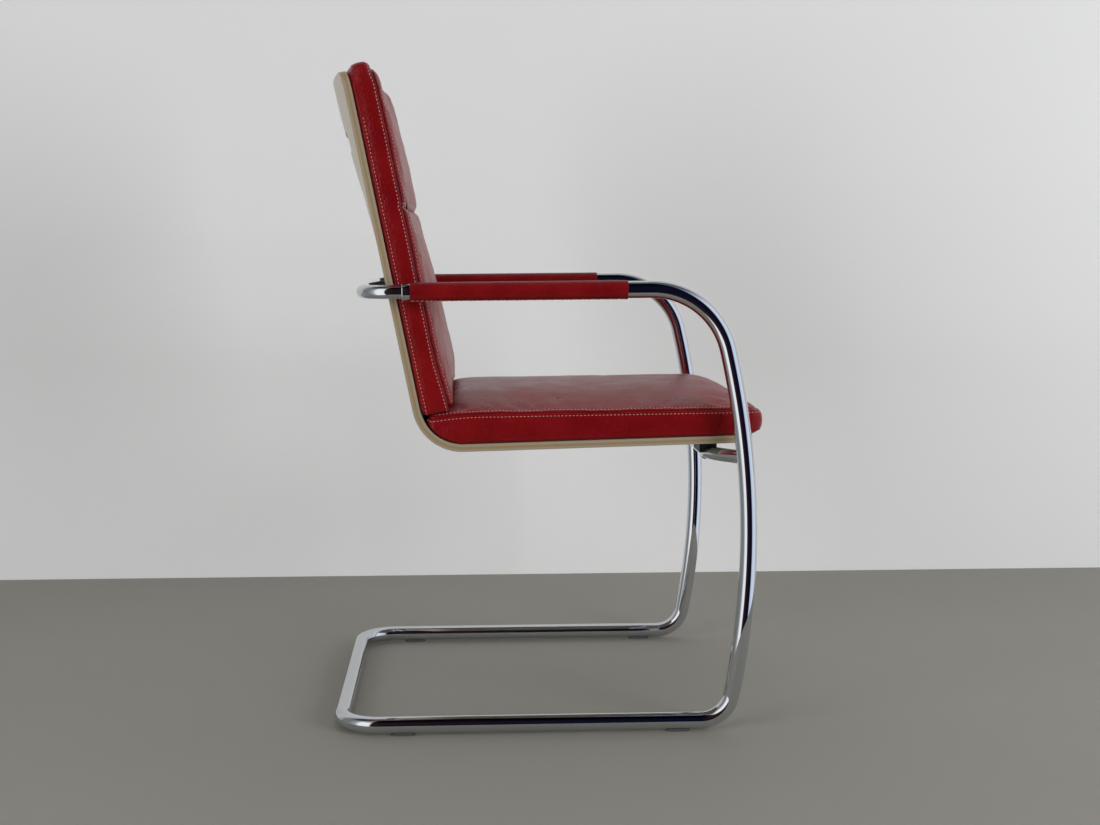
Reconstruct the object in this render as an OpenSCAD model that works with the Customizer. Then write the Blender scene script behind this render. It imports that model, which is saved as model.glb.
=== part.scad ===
// Cantilever lounge chair: bent chromed tube frame, moulded plywood shell, leather box pads.
// Millimetres, +Z up, the sitter faces -Y. The origin lies on the floor under the middle of the chair.
// Most of the chair is drawn in its side plane, as [distance forward of the base's rear, height].

/* [Frame tube] */
// Outside diameter of the frame tube
tube_d = 25; // [22:1:30]
// Wall of the frame tube
tube_wall = 2; // [1.5:0.5:3]
// Gap between the shell's sides and the frame tubes
side_gap = 19.5; // [12:0.5:40]
// Depth from the rear floor bar to the foremost point of the uprights
base_depth = 631; // [615:1:660]
// Height of the arms at their front end, to the top of the tube
arm_h = 671; // [650:1:700]
// Bend radius between runner and upright, on the centre line
foot_bend_r = 47; // [40:1:70]
// Bend radius between upright and arm, on the centre line
arm_bend_r = 115; // [90:1:140]
// Bend radius between runner and rear floor bar, on the centre line
rear_bend_r = 60; // [45:1:90]
// Slope of the upright where it leaves the foot bend
foot_angle = 79; // [74:0.5:84]
// Slope of the upright where it meets the arm bend
top_angle = 103.5; // [98:0.5:108]
// Rise of the arms towards the front
arm_rise = 0.5; // [0:0.1:2]
// Distance of the arm tubes' rear ends from the back of the base
arm_tip = 123; // [115:1:135]

/* [Glides] */
// Height of the glides between floor and runner
glide_h = 2.5; // [2:0.5:6]
// Length of a glide
glide_len = 36; // [25:1:60]
// Width of a glide
glide_w = 14; // [10:1:20]
// Distance of the glides' middles from the ends of the runners' straight part
glide_set = 34; // [25:1:90]

/* [Brace under the seat] */
// Outside diameter of the brace tube
brace_d = 20; // [16:1:22]
// Wall of the brace tube
brace_wall = 2; // [1.5:0.5:3]
// How far the brace bows rearwards from the uprights
brace_setback = 46; // [40:1:60]
// Angle by which the brace turns near each end
brace_turn = 40; // [30:1:50]
// Bend radius of the brace, on the centre line
brace_bend_r = 80; // [50:1:90]
// Height of the saddles between brace and shell
saddle_t = 6.5; // [4:0.5:12]
// Length of a saddle along the brace
saddle_len = 60; // [40:1:70]
// Depth of a saddle, front to back
saddle_w = 26; // [22:1:32]
// Distance of the saddle screws from the uprights' centre line
saddle_inset = 88; // [80:1:120]

/* [Bow behind the back] */
// Outside diameter of the bow
bow_d = 20; // [16:1:20]
// Wall of the bow
bow_wall = 2; // [1.5:0.5:3]
// Distance of the bow's rear side from the back of the base
bow_back = 43; // [35:1:50]
// Bend radius of the bow, on the centre line
bow_bend_r = 45; // [35:1:55]
// Length of the bow inside each arm
bow_insert = 60; // [40:1:90]
// Length of the rings where the bow enters the arms
collar_len = 12; // [8:1:16]
// Distance of the bow's screws from the centre plane
bow_screw_x = 150; // [100:5:180]
// Diameter of the bushes between bow and shell
bush_d = 18; // [14:1:24]

/* [Plywood shell] */
// Thickness of the plywood
ply_t = 11; // [9:0.5:13]
// Width of the seat
seat_w = 476; // [450:2:480]
// How much the back narrows on each side towards its top edge
taper = 15; // [0:1:30]
// Depth of the seat, from the outer corner of the bend to the front edge
seat_len = 497; // [480:1:510]
// Length of the back, from the outer corner of the bend to the top edge
back_len = 568; // [540:1:600]
// Distance of the outer corner from the back of the base
corner_set = 136; // [130:1:140]
// Height of the outer corner
corner_h = 416.5; // [405:0.5:430]
// Rise of the seat towards the front
seat_pitch = 1.5; // [0:0.1:3]
// Lean of the back from upright
back_lean = 11.4; // [10:0.1:13]
// Outer radius of the bend between seat and back
bend_r = 75; // [65:1:85]
// Depth of the hollow across the top of the back
hollow = 26; // [10:1:28]
// Height above the corner at which the hollow begins
hollow_start = 172; // [150:1:240]
// Radius of the shell's four corners
corner_r = 28; // [15:1:45]
// Length of the two slots in the back
slot_len = 280; // [200:5:320]
// Height of a slot
slot_h = 28; // [20:1:35]
// Distance of the upper slot's middle from the top edge
slot_top = 95; // [85:1:110]
// Distance between the slots' middles
slot_pitch = 87; // [70:1:95]

/* [Pads] */
// Gap between pads and plywood, bridged by the tapes
pad_gap = 2; // [1.5:0.5:4]
// How far the pads' sides lie inside the plywood's sides
pad_inset = 2; // [0:0.5:10]
// Height of the seat pad's side at the rear
seat_side_rear = 45.5; // [40:0.5:50]
// Height of the seat pad's side at the front
seat_side_front = 38.5; // [32:0.5:45]
// Height of the seat pad's crown above its side seam
seat_crown = 24; // [10:1:30]
// How far the seat pad's nose stands past the plywood
nose = 8; // [4:1:20]
// Depth of the back pad's side
back_side = 37; // [30:0.5:45]
// How far the back pad stands up just inside its side seam
back_lip = 5; // [0:0.5:10]
// Height of the back pad's crown above that
back_crown = 16; // [6:1:22]
// Height of the back pad's lower end above the corner
back_pad_start = 52.5; // [50:0.5:60]
// How far the back pad stands above the plywood
back_pad_over = 2; // [1:0.5:15]
// Height of the cross seam above the corner
cross_seam = 358; // [300:1:400]
// Depth of the crown left in the cross seam
seam_crown = 1.5; // [0.5:0.5:6]
// How far the back pad's top end bulges
top_bulge = 5; // [2:0.5:10]
// Thickness of the boards inside the pads
board_t = 4; // [3:0.5:6]
// Bare length of the arms between the leather sleeves and the front bends
sleeve_set = 35; // [5:1:90]
// Thickness of the sleeves' leather
leather_t = 0.9; // [0.7:0.1:1.5]

/* [Hidden] */
$fn = 64;

// Clearances
overrun = 1;
seat_fit = 0.2;
soft_gap = 0.3;
bore_fit = 0.3;
tape_fit = 0.1;

// Bends of tubes are a hair thicker than the straight runs, which end a little way inside them
bend_swell = 0.05;
lap = 0.4;

// Screws, inserts and the glides' pegs
screw_d = 6;
head_d = 11;
head_t = 4;
insert_d = 9;
insert_len = 9;
thread_len = 8;
peg_d = 5;
peg_len = 5;
glide_lip = 2;

// Frame tube in the side plane
tube_r = tube_d / 2;
track = seat_w + 2 * side_gap + tube_d;
half_track = track / 2;
runner_z = glide_h + tube_r;
arm_z = arm_h - tube_r;
arm_heading = 180 + arm_rise;
foot_rise = foot_bend_r * (1 - cos(foot_angle));
arm_drop = arm_bend_r * (cos(top_angle) - cos(arm_heading));
leg_r = (arm_z - runner_z - foot_rise - arm_drop) / (cos(foot_angle) - cos(top_angle));
leg_lap = lap / leg_r * 180 / PI;
leg_top_p = base_depth - tube_r;
leg_c = [leg_top_p - leg_r, runner_z + foot_rise + leg_r * cos(foot_angle)];
foot_end = leg_c + leg_r * [sin(foot_angle), -cos(foot_angle)];
foot_c = foot_end - foot_bend_r * [sin(foot_angle), -cos(foot_angle)];
arm_start = leg_c + leg_r * [sin(top_angle), -cos(top_angle)];
arm_c = arm_start - arm_bend_r * [sin(top_angle), -cos(top_angle)];
arm_end = arm_c + arm_bend_r * [sin(arm_heading), -cos(arm_heading)];
arm_len = (arm_end[0] - arm_tip) / cos(arm_rise);
sleeve_len = arm_len - sleeve_set;
run_start = tube_r + rear_bend_r;
glide_rear = run_start + glide_set;
glide_front = foot_c[0] - glide_set;
function arm_point(p) = [p, arm_end[1] - (arm_end[0] - p) * tan(arm_rise)];
function leg_p(z) = leg_c[0] + sqrt(leg_r * leg_r - (z - leg_c[1]) * (z - leg_c[1]));

// Shell in the side plane: unit vectors along and square to the seat and the back
corner = [corner_set, corner_h];
seat_dir = [cos(seat_pitch), sin(seat_pitch)];
seat_up = [-sin(seat_pitch), cos(seat_pitch)];
back_dir = [-sin(back_lean), cos(back_lean)];
back_in = [cos(back_lean), sin(back_lean)];
bend_turn = 90 - back_lean + seat_pitch;
bend_tangent = bend_r * tan(bend_turn / 2);
bend_c = corner + bend_tangent * seat_dir + bend_r * seat_up;
half_seat = seat_w / 2;
half_top = half_seat - taper;

// Pads
seat_rise = ply_t + pad_gap;
half_pad = half_seat - pad_inset;
nose_end = seat_len + nose;
nose_share = 0.7;
nose_low = seat_rise + seat_side_front * (1 - nose_share) / 2;
depth = (corner + nose_end * seat_dir + nose_low * seat_up)[0];
shift = depth / 2;

// Brace and its saddles
brace_r = brace_d / 2;
brace_ref = leg_top_p - brace_setback;
brace_z = corner_h + (brace_ref - corner_set) * tan(seat_pitch) - saddle_t - brace_r;
brace_p = leg_p(brace_z) - brace_setback;
leg_heading = 90 + asin((brace_z - leg_c[1]) / leg_r);
brace_stub = (brace_setback - brace_bend_r * (1 - cos(brace_turn))) / sin(brace_turn);
brace_bend_x = half_track - brace_stub * cos(brace_turn) - brace_bend_r * sin(brace_turn);
saddle_x = half_track - saddle_inset;

// Bow behind the back
bow_r = bow_d / 2;
bow_p = bow_back + bow_r;
bow_point = arm_point(bow_p);
bow_reach = (arm_tip - bow_p) / cos(arm_rise);
bow_a = (bow_point - corner) * back_dir;
bow_n = (bow_point - corner) * back_in;

// A place in the side plane, x to the left of the sitter, as a point of the model
function at(pz, x) = [x, shift - pz[0], pz[1]];

// Draws its children in the side plane: x forward, y up, z towards the sitter's right
module side_plane() {
    translate([0, shift, 0]) rotate([90, 0, -90]) children();
}

// Both sides of the chair
module both_sides() {
    children();
    mirror([1, 0, 0]) children();
}

// Round bar along an arc in the side plane, between two headings
module side_bend(c, r, from, to, d) {
    side_plane() translate([c[0], c[1], -half_track]) rotate([0, 0, from - 90])
        rotate_extrude(angle = to - from) translate([r, 0]) circle(d = d);
}

// Straight round bar in the side plane, lengthened at both ends
module side_run(start, heading, len, d, before, after) {
    side_plane() translate([start[0], start[1], -half_track]) rotate([0, 90, heading])
        translate([0, 0, -before]) cylinder(h = before + len + after, d = d);
}

module glide_places() {
    for (p = [glide_rear, glide_front]) translate([half_track, shift - p, 0]) children();
}

// The frame tube's way on one side: runner, upright and arm, and the bend to the rear floor bar
module frame_side(d, past) {
    slim = d - 2 * bend_swell;
    side_run([run_start, runner_z], 0, foot_c[0] - run_start, slim, lap, lap);
    side_bend(foot_c, foot_bend_r, 0, foot_angle, d);
    side_bend(leg_c, leg_r, foot_angle - leg_lap, top_angle + leg_lap, slim);
    side_bend(arm_c, arm_bend_r, top_angle, arm_heading, d);
    side_run(arm_end, arm_heading, arm_len, slim, lap, past);
    translate([half_track - rear_bend_r, shift - run_start, runner_z])
        rotate_extrude(angle = 90) translate([rear_bend_r, 0]) circle(d = d);
}

// The frame tube's way as a solid bar of diameter d, its ends lengthened by past
module frame_path(d, past) {
    bar = track - 2 * rear_bend_r + 2 * lap;
    both_sides() frame_side(d, past);
    translate([-bar / 2, shift - tube_r, runner_z]) rotate([0, 90, 0])
        cylinder(h = bar, d = d - 2 * bend_swell);
}

// One tube from arm to arm: arms, uprights, runners and the rear floor bar
module frame_tube() {
    color("gainsboro") difference() {
        frame_path(tube_d, 0);
        frame_path(tube_d - 2 * tube_wall, overrun);
        both_sides() glide_places() cylinder(h = runner_z, d = peg_d + 2 * seat_fit);
    }
}

// The brace's way as a solid bar of diameter d
module brace_path(d) {
    slim = d - 2 * bend_swell;
    middle = 2 * (brace_bend_x + lap);
    translate([0, shift - brace_p, brace_z]) {
        translate([-middle / 2, 0, 0]) rotate([0, 90, 0]) cylinder(h = middle, d = slim);
        both_sides() translate([brace_bend_x, -brace_bend_r, 0]) rotate([0, 0, 90 - brace_turn]) {
            rotate_extrude(angle = brace_turn) translate([brace_bend_r, 0]) circle(d = d);
            translate([brace_bend_r, lap, 0]) rotate([90, 0, 0]) cylinder(h = lap + brace_stub, d = slim);
        }
    }
}

// Axis of the screws under the seat, at the brace's centre line, pointing into the shell
module seat_screw_axis() {
    both_sides() translate(at([brace_p, brace_z], saddle_x)) rotate([seat_pitch, 0, 0]) children();
}

// Screw with a domed head below the origin, at distance seat, and the shank above it
module dome_screw(seat, len) {
    translate([0, 0, -seat]) {
        cylinder(h = len, d = screw_d);
        intersection() {
            translate([0, 0, -head_t]) cylinder(h = head_t, d = head_d);
            sphere_r = (head_d * head_d / 4 + head_t * head_t) / (2 * head_t);
            translate([0, 0, sphere_r - head_t]) sphere(r = sphere_r);
        }
    }
}

module seat_brace() {
    color("silver") difference() {
        brace_path(brace_d);
        brace_path(brace_d - 2 * brace_wall);
        both_sides()
            side_run([leg_p(brace_z), brace_z], leg_heading, 0, tube_d + 2 * seat_fit, brace_d, brace_d);
        seat_screw_axis() cylinder(h = 3 * brace_d, d = screw_d + 2 * bore_fit, center = true);
    }
}

// Height of the seat's underside over a place in the side plane
function underside(p) = corner_h + (p - corner_set) * tan(seat_pitch);

module brace_saddle() {
    rear = brace_p - saddle_w / 2;
    front = brace_p + saddle_w / 2;
    color("dimgray") difference() {
        side_plane() translate([0, 0, -saddle_x - saddle_len / 2]) linear_extrude(saddle_len)
            polygon([[rear, brace_z], [front, brace_z],
                [front, underside(front) - seat_fit], [rear, underside(rear) - seat_fit]]);
        brace_path(brace_d + 2 * seat_fit);
        seat_screw_axis() cylinder(h = 3 * brace_d, d = screw_d + 2 * bore_fit, center = true);
    }
}

module brace_screws() {
    under = (corner_h + (brace_p - corner_set) * tan(seat_pitch) - brace_z) * cos(seat_pitch);
    color("silver") seat_screw_axis()
        dome_screw(brace_r + seat_fit, brace_r + seat_fit + under + thread_len);
}

// Threaded insert: a sleeve in the plywood, from the face that the screw enters
module insert_sleeve() {
    difference() {
        cylinder(h = insert_len - seat_fit, d = insert_d - 2 * tape_fit);
        translate([0, 0, -overrun]) cylinder(h = insert_len + overrun, d = screw_d + 2 * tape_fit);
    }
}

// Children stand on the seat's underside, or on the back's rear face, at the screws
module seat_face_places() {
    both_sides() translate(at([brace_p, brace_z], saddle_x)) rotate([seat_pitch, 0, 0])
        translate([0, 0, (underside(brace_p) - brace_z) * cos(seat_pitch)]) children();
}

module back_screw_axis() {
    both_sides() translate(at(bow_point, bow_screw_x)) rotate([90 - back_lean, 0, 0]) children();
}

module back_face_places() {
    back_screw_axis() translate([0, 0, -bow_n - sag(bow_a, bow_screw_x)]) children();
}

module seat_inserts() {
    color("goldenrod") seat_face_places() insert_sleeve();
}

module back_inserts() {
    color("goldenrod") back_face_places() insert_sleeve();
}

// The bow's way as a solid bar of diameter d, in the plane of the arms
module bow_path(d, insert) {
    slim = d - 2 * bend_swell;
    straight = bow_reach - bow_bend_r + insert;
    span = half_track - bow_bend_r;
    translate(at(bow_point, 0)) rotate([-arm_rise, 0, 0]) {
        translate([-span - lap, 0, 0]) rotate([0, 90, 0]) cylinder(h = 2 * (span + lap), d = slim);
        both_sides() translate([span, -bow_bend_r, 0]) {
            rotate_extrude(angle = 90) translate([bow_bend_r, 0]) circle(d = d);
            translate([bow_bend_r, lap, 0]) rotate([90, 0, 0]) cylinder(h = lap + straight, d = slim);
        }
    }
}

module rear_bow() {
    color("gainsboro") difference() {
        bow_path(bow_d, bow_insert);
        bow_path(bow_d - 2 * bow_wall, bow_insert + overrun);
        back_screw_axis() cylinder(h = 3 * bow_d, d = screw_d + 2 * bore_fit, center = true);
    }
}

// Children lie along the left arm, z forward, from a distance before the arm's rear end
module arm_axis(before) {
    translate(at(arm_point(arm_tip), half_track)) rotate([90 - arm_rise, 0, 0])
        translate([0, 0, -before]) children();
}

module collar() {
    color("silver") arm_axis(collar_len + seat_fit) difference() {
        cylinder(h = collar_len, d = tube_d + 2 * seat_fit);
        translate([0, 0, -overrun]) cylinder(h = collar_len + 2 * overrun, d = bow_d + 2 * seat_fit);
    }
}

// Bush between bow and shell, hollowed round the bow
module bow_spacer() {
    len = -bow_n - sag(bow_a, bow_screw_x) - soft_gap;
    color("dimgray") difference() {
        translate(at(bow_point, bow_screw_x)) rotate([90 - back_lean, 0, 0]) cylinder(h = len, d = bush_d);
        bow_path(bow_d + 2 * seat_fit, 0);
        back_screw_axis() cylinder(h = 3 * bow_reach, d = screw_d + 2 * bore_fit, center = true);
    }
}

module bow_screws() {
    under = -bow_n - sag(bow_a, bow_screw_x);
    color("silver") back_screw_axis()
        dome_screw(bow_r + seat_fit, bow_r + seat_fit + under + thread_len);
}

// Depth of the hollow at height a above the corner, x from the centre plane
function ease(t) = t <= 0 ? 0 : t >= 1 ? 1 : t * t * (3 - 2 * t);
function half_width(a) =
    half_seat - (half_seat - half_top) * max(0, (a - hollow_start) / (back_len - hollow_start));
function sag(a, x) = hollow * ease((a - hollow_start) / (back_len - hollow_start))
    * (1 - pow(x / half_width(a), 2));

// Points of the seat and of the back: a along it from the corner, n off the outer face
function seat_point(a, x, n) = at(corner + a * seat_dir + n * seat_up, x);
function back_point(a, x, n) = at(corner + a * back_dir + (n - sag(a, x)) * back_in, x);
function bend_point(turn, x, n) =
    at(bend_c + (bend_r - n) * [-sin(turn - seat_pitch), -cos(turn - seat_pitch)], x);

// Skin through closed rings of points
function ring_faces(rings, m) =
    [for (i = [0 : len(rings) - 2], j = [0 : m - 1]) let (k = (j + 1) % m, a = i * m, b = a + m)
        each [[a + j, b + j, b + k], [a + j, b + k, a + k]]];

// Flat solid through rings, both ends closed by a strip
module loft(rings) {
    m = len(rings[0]);
    last = (len(rings) - 1) * m;
    caps = [for (j = [0 : m / 2 - 2]) each [[j, j + 1, m - 2 - j], [j, m - 2 - j, m - 1 - j],
        [last + j, last + m - 2 - j, last + j + 1],
        [last + j, last + m - 1 - j, last + m - 2 - j]]];
    polyhedron(points = [for (r = rings) each r], faces = concat(ring_faces(rings, m), caps));
}

// Full solid through rings, both ends closed round a middle point
function ring_middle(r) = let (h = len(r) / 2) (r[0] + r[h - 1] + r[h] + r[2 * h - 1]) / 4;
module full_loft(rings) {
    m = len(rings[0]);
    last = (len(rings) - 1) * m;
    tail = last + m;
    caps = [for (j = [0 : m - 1]) let (k = (j + 1) % m)
        each [[j, k, tail], [last + k, last + j, tail + 1]]];
    polyhedron(points = concat([for (r = rings) each r],
        [ring_middle(rings[0]), ring_middle(rings[len(rings) - 1])]),
        faces = concat(ring_faces(rings, m), caps));
}

function reversed(list) = [for (i = [len(list) - 1 : -1 : 0]) list[i]];

// Shell stations run from the front edge, round the bend, to the top edge
across = 16;
bend_steps = 12;
hollow_steps = 12;
corner_steps = 5;
function span_x(w) = [for (j = [0 : across]) w * (2 * j / across - 1)];
function seat_ring(a, w) = concat([for (x = span_x(w)) seat_point(a, x, 0)],
    [for (x = span_x(-w)) seat_point(a, x, ply_t)]);
function bend_ring(turn) = concat([for (x = span_x(half_seat)) bend_point(turn, x, 0)],
    [for (x = span_x(-half_seat)) bend_point(turn, x, ply_t)]);
function back_ring(a, w) = concat([for (x = span_x(w)) back_point(a, x, 0)],
    [for (x = span_x(-w)) back_point(a, x, ply_t)]);
// Distance from an edge, and loss of width there, over a rounded corner
function corner_run(i) = corner_r * (1 - cos(90 * i / corner_steps));
function corner_loss(i) = corner_r * (1 - sin(90 * i / corner_steps));
hollow_end = back_len - corner_r;
shell_rings = concat(
    [for (i = [0 : corner_steps]) seat_ring(seat_len - corner_run(i), half_seat - corner_loss(i))],
    [for (i = [0 : bend_steps]) bend_ring(bend_turn * i / bend_steps)],
    [for (i = [0 : hollow_steps - 1]) let (a = hollow_start + (hollow_end - hollow_start) * i / hollow_steps)
        back_ring(a, half_width(a))],
    [for (i = [corner_steps : -1 : 0]) let (a = back_len - corner_run(i))
        back_ring(a, half_width(a) - corner_loss(i))]);

// A stadium-shaped slot through the back
module slot(a) {
    translate(at(corner + a * back_dir, 0)) rotate([90 - back_lean, 0, 0])
        translate([0, 0, -hollow - overrun]) linear_extrude(hollow + ply_t + 2 * overrun) {
            square([slot_len - slot_h, slot_h], center = true);
            for (x = [-1, 1]) translate([x * (slot_len - slot_h) / 2, 0]) circle(d = slot_h);
        }
}

module seat_shell() {
    color("burlywood") difference() {
        loft(reversed(shell_rings));
        for (i = [0, 1]) slot(back_len - slot_top - i * slot_pitch);
        seat_face_places() translate([0, 0, -overrun]) cylinder(h = insert_len + overrun, d = insert_d);
        back_face_places() translate([0, 0, -overrun]) cylinder(h = insert_len + overrun, d = insert_d);
    }
}

// Seat pad along the seat: side seam, crown and underside at a distance a from the corner
seam_dip = 8;
seam_dip_len = 90;
crown_front = 64;
crown_rear = 60;
pad_tip = 11;
pad_bend_r = bend_r - seat_rise;
pad_corner_r = 24;
edge_draw = 5;
seam_draw = 2;
board_rim = 16;
step = 0.5;
function seat_seam(a) = let (t = (a - pad_tip) / (nose_end - pad_tip))
    seat_rise + seat_side_rear + (seat_side_front - seat_side_rear) * t
    - seam_dip * (1 - sin(90 * min(1, max(0, a / seam_dip_len))));
function seat_full(a) = let (f = (a - (nose_end - crown_front)) / crown_front, r = 1 - a / crown_rear)
    seat_crown * (1 - pow(max(0, f), 2)) * (1 - pow(max(0, r), 2));
function seat_base(a) = a >= bend_tangent ? seat_rise
    : bend_r - sqrt(pow(pad_bend_r, 2) - pow(min(pad_bend_r, bend_tangent - a), 2));

// One ring of a pad: w half width, base and seam heights, crown and its power, the lip that rises
// just inside the seam, and the recess for the board
crown_shares = [0.985, 0.94, 0.87, 0.77, 0.64, 0.48, 0.3, 0.1];
seat_power = 3;
back_power = 4;
lip_len = 8;
function crown_at(share, power) = 1 - pow(share, power);
function lip_at(away) = 1 - exp(-away / lip_len);
function half_ring(w, base, seam, crown, power, lip, recess) =
    let (draw = min(edge_draw, (seam - base) / 4)) concat(
    [[w - board_rim - step, base + recess], [w - board_rim, base], [w - draw, base],
        [w - step, base + draw], [w, (base + seam) / 2], [w - step, seam - draw],
        [w - seam_draw, seam]],
    [for (s = crown_shares) [s * (w - seam_draw),
        seam + crown * crown_at(s, power) + lip * lip_at((1 - s) * w)]]);
function pad_ring(w, base, seam, crown, power, lip, recess) =
    let (h = half_ring(w, base, seam, crown, power, lip, recess))
        concat(h, [for (i = [len(h) - 1 : -1 : 0]) [-h[i][0], h[i][1]]]);

board_recess = board_t + soft_gap;
rear_shares = [0.25, 0.5, 0.75];
seat_shares = [0.2, 0.4, 0.6, 0.8];
seat_board_from = bend_tangent + edge_draw;
seat_board_to = nose_end - pad_corner_r - board_rim;
seat_stations = concat(
    [for (t = rear_shares) [pad_tip + (seat_board_from - pad_tip) * t * t, 0]],
    [[seat_board_from - step, 0], [seat_board_from, 1]],
    [for (t = seat_shares) [seat_board_from + (seat_board_to - seat_board_from) * t, 1]],
    [[seat_board_to, 1], [seat_board_to + step, 0]],
    [for (i = [corner_steps : -1 : 1]) [nose_end - pad_corner_r * (1 - cos(90 * i / corner_steps)), 0]]);
function pad_half(a) = let (d = pad_corner_r - (nose_end - a))
    half_pad - (d > 0 ? pad_corner_r - sqrt(pow(pad_corner_r, 2) - d * d) : 0);
function seat_pad_ring(a, inside) =
    [for (q = pad_ring(pad_half(a), seat_base(a), seat_seam(a), seat_full(a), seat_power, 0,
        inside * board_recess)) seat_point(a, q[0], q[1])];
tip_share = 0.35;
function seat_tip_ring(a, share) = let (low = seat_base(a), high = seat_seam(a), mid = (low + high) / 2)
    [for (q = pad_ring(pad_half(a) - edge_draw, mid + (low - mid) * share, mid + (high - mid) * share,
        0, 1, 0, 0)) seat_point(a, q[0], q[1])];

module seat_cushion() {
    color("firebrick") full_loft(concat([seat_tip_ring(pad_tip, tip_share)],
        [for (s = seat_stations) seat_pad_ring(s[0], s[1])],
        [seat_tip_ring(nose_end, nose_share)]));
}

// A patch that follows the seat or the back between two heights over its outer face
function patch_ring(on_back, a, x0, x1, n0, n1) = let (steps = 6,
    xs = [for (j = [0 : steps]) x0 + (x1 - x0) * j / steps], back = [for (j = [steps : -1 : 0]) xs[j]])
    concat([for (x = xs) on_back ? back_point(a, x, n0) : seat_point(a, x, n0)],
        [for (x = back) on_back ? back_point(a, x, n1) : seat_point(a, x, n1)]);

module patch(on_back, a0, a1, x0, x1, n0, n1, steps) {
    rings = [for (i = [0 : steps]) patch_ring(on_back, a0 + (a1 - a0) * i / steps, x0, x1, n0, n1)];
    loft(on_back ? reversed(rings) : rings);
}

module seat_pad_board() {
    x = half_pad - board_rim - step - soft_gap;
    color("tan") patch(false, seat_board_from + step + soft_gap, seat_board_to - soft_gap,
        -x, x, seat_rise, seat_rise + board_t, 1);
}

tape_w = 50;
tape_len = 320;
tape_x = 120;
module seat_pad_tape() {
    from = (seat_board_from + seat_board_to - tape_len) / 2;
    color("black") for (x = [-tape_x, tape_x]) patch(false, from, from + tape_len,
        x - tape_w / 2, x + tape_w / 2, ply_t + tape_fit, seat_rise - tape_fit, 1);
}

// Back pad: stations from the lower end to the top, crown of its two panels
back_pad_end = back_len + back_pad_over;
// The upper panel is flat over this length below its top end
flat_top = 50;
lower_lean = 0.8;
upper_round = 0.8;
seam_pull_share = 0.6;
seam_pull_len = 12;
function panel_crown(t, lean, round) =
    back_crown * pow(max(0, sin(180 * pow(min(1, max(0, t)), lean))), round);
function back_full(a) = a < cross_seam
    ? max(panel_crown((a - back_pad_start) / (cross_seam - back_pad_start), lower_lean, 1),
        a > (back_pad_start + cross_seam) / 2 ? seam_crown : 0)
    : max(panel_crown((a - cross_seam) / (back_pad_end - flat_top - cross_seam), 1, upper_round),
        a < (cross_seam + back_pad_end) / 2 ? seam_crown : 0);
function back_rise(a) = back_lip * lip_at(max(0, min(a - back_pad_start, back_pad_end - a)))
    * (1 - seam_pull_share * exp(-pow((a - cross_seam) / seam_pull_len, 2)));

module back_pad_board() {
    x = half_top - board_rim - step - soft_gap - pad_inset;
    color("tan") patch(true, back_board_from + step + soft_gap, back_board_to - soft_gap,
        -x, x, seat_rise, seat_rise + board_t, 14);
}

module back_pad_tape() {
    color("black") for (x = [-tape_x, tape_x]) patch(true, back_board_from + board_rim,
        back_board_from + board_rim + tape_len,
        x - tape_w / 2, x + tape_w / 2, ply_t + tape_fit, seat_rise - tape_fit, 10);
}

lower_end_shares = [0.02, 0.05, 0.09];
lower_shares = [0.2, 0.32, 0.46, 0.6, 0.74, 0.86, 0.94, 0.975, 0.992, 1];
upper_shares = [0.012, 0.04, 0.09, 0.18, 0.3, 0.44, 0.58, 0.7];
low_tip_share = 0.8;
// Places over the bulging top end: how far out, and how much of the side's depth is left there
top_tip_shares = [[0, 0.92], [0.5, 0.8], [0.85, 0.6], [1, 0.35]];
back_board_from = back_pad_start + 2 * board_rim;
back_board_to = back_len - corner_r;
back_stations = concat(
    [for (t = lower_end_shares) [back_pad_start + (cross_seam - back_pad_start) * t, 0]],
    [[back_board_from - step, 0], [back_board_from, 1]],
    [for (t = lower_shares)
        [back_pad_start + (cross_seam - back_pad_start) * t, 1]],
    [for (t = upper_shares)
        [cross_seam + (back_pad_end - cross_seam) * t, 1]],
    [[back_board_to, 1], [back_board_to + step, 0]],
    [for (i = [corner_steps : -1 : 1]) [back_pad_end - pad_corner_r * (1 - cos(90 * i / corner_steps)), 0]]);
function back_pad_half(a) = let (d = pad_corner_r - (back_pad_end - a))
    half_width(min(a, back_len)) - pad_inset
    - (d > 0 ? pad_corner_r - sqrt(pow(pad_corner_r, 2) - d * d) : 0);
// The lower end arches over the crown of the seat pad
arch_len = 60;
arch_power = 1.5;
function arch(a, x, w) = (seat_crown + soft_gap) * crown_at(min(1, abs(x) / w), seat_power)
    * pow(max(0, 1 - (a - back_pad_start) / arch_len), arch_power);
function back_pad_ring(a, inside) = let (w = back_pad_half(a))
    [for (q = pad_ring(w, seat_rise, seat_rise + back_side, back_full(a), back_power, back_rise(a),
        inside * board_recess)) back_point(a + arch(a, q[0], half_pad), q[0], q[1])];
function back_tip_ring(a, out, share) = let (w = back_pad_half(a) - edge_draw - out,
    mid = seat_rise + back_side / 2, h = share * back_side / 2)
    [for (q = pad_ring(w, mid - h, mid + h, 0, 1, 0, 0))
        back_point(a + out + arch(a, q[0], half_pad), q[0], q[1])];

module back_cushion() {
    color("firebrick") full_loft(reversed(concat([back_tip_ring(back_pad_start, 0, low_tip_share)],
        [for (s = back_stations) back_pad_ring(s[0], s[1])],
        [for (t = top_tip_shares) back_tip_ring(back_pad_end, t[0] * top_bulge, t[1])])));
}

module arm_sleeve() {
    inner = tube_d + 2 * seat_fit;
    color("firebrick") arm_axis(0) difference() {
        cylinder(h = sleeve_len, d = inner + 2 * leather_t);
        translate([0, 0, -overrun]) cylinder(h = sleeve_len + 2 * overrun, d = inner);
    }
}

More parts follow.
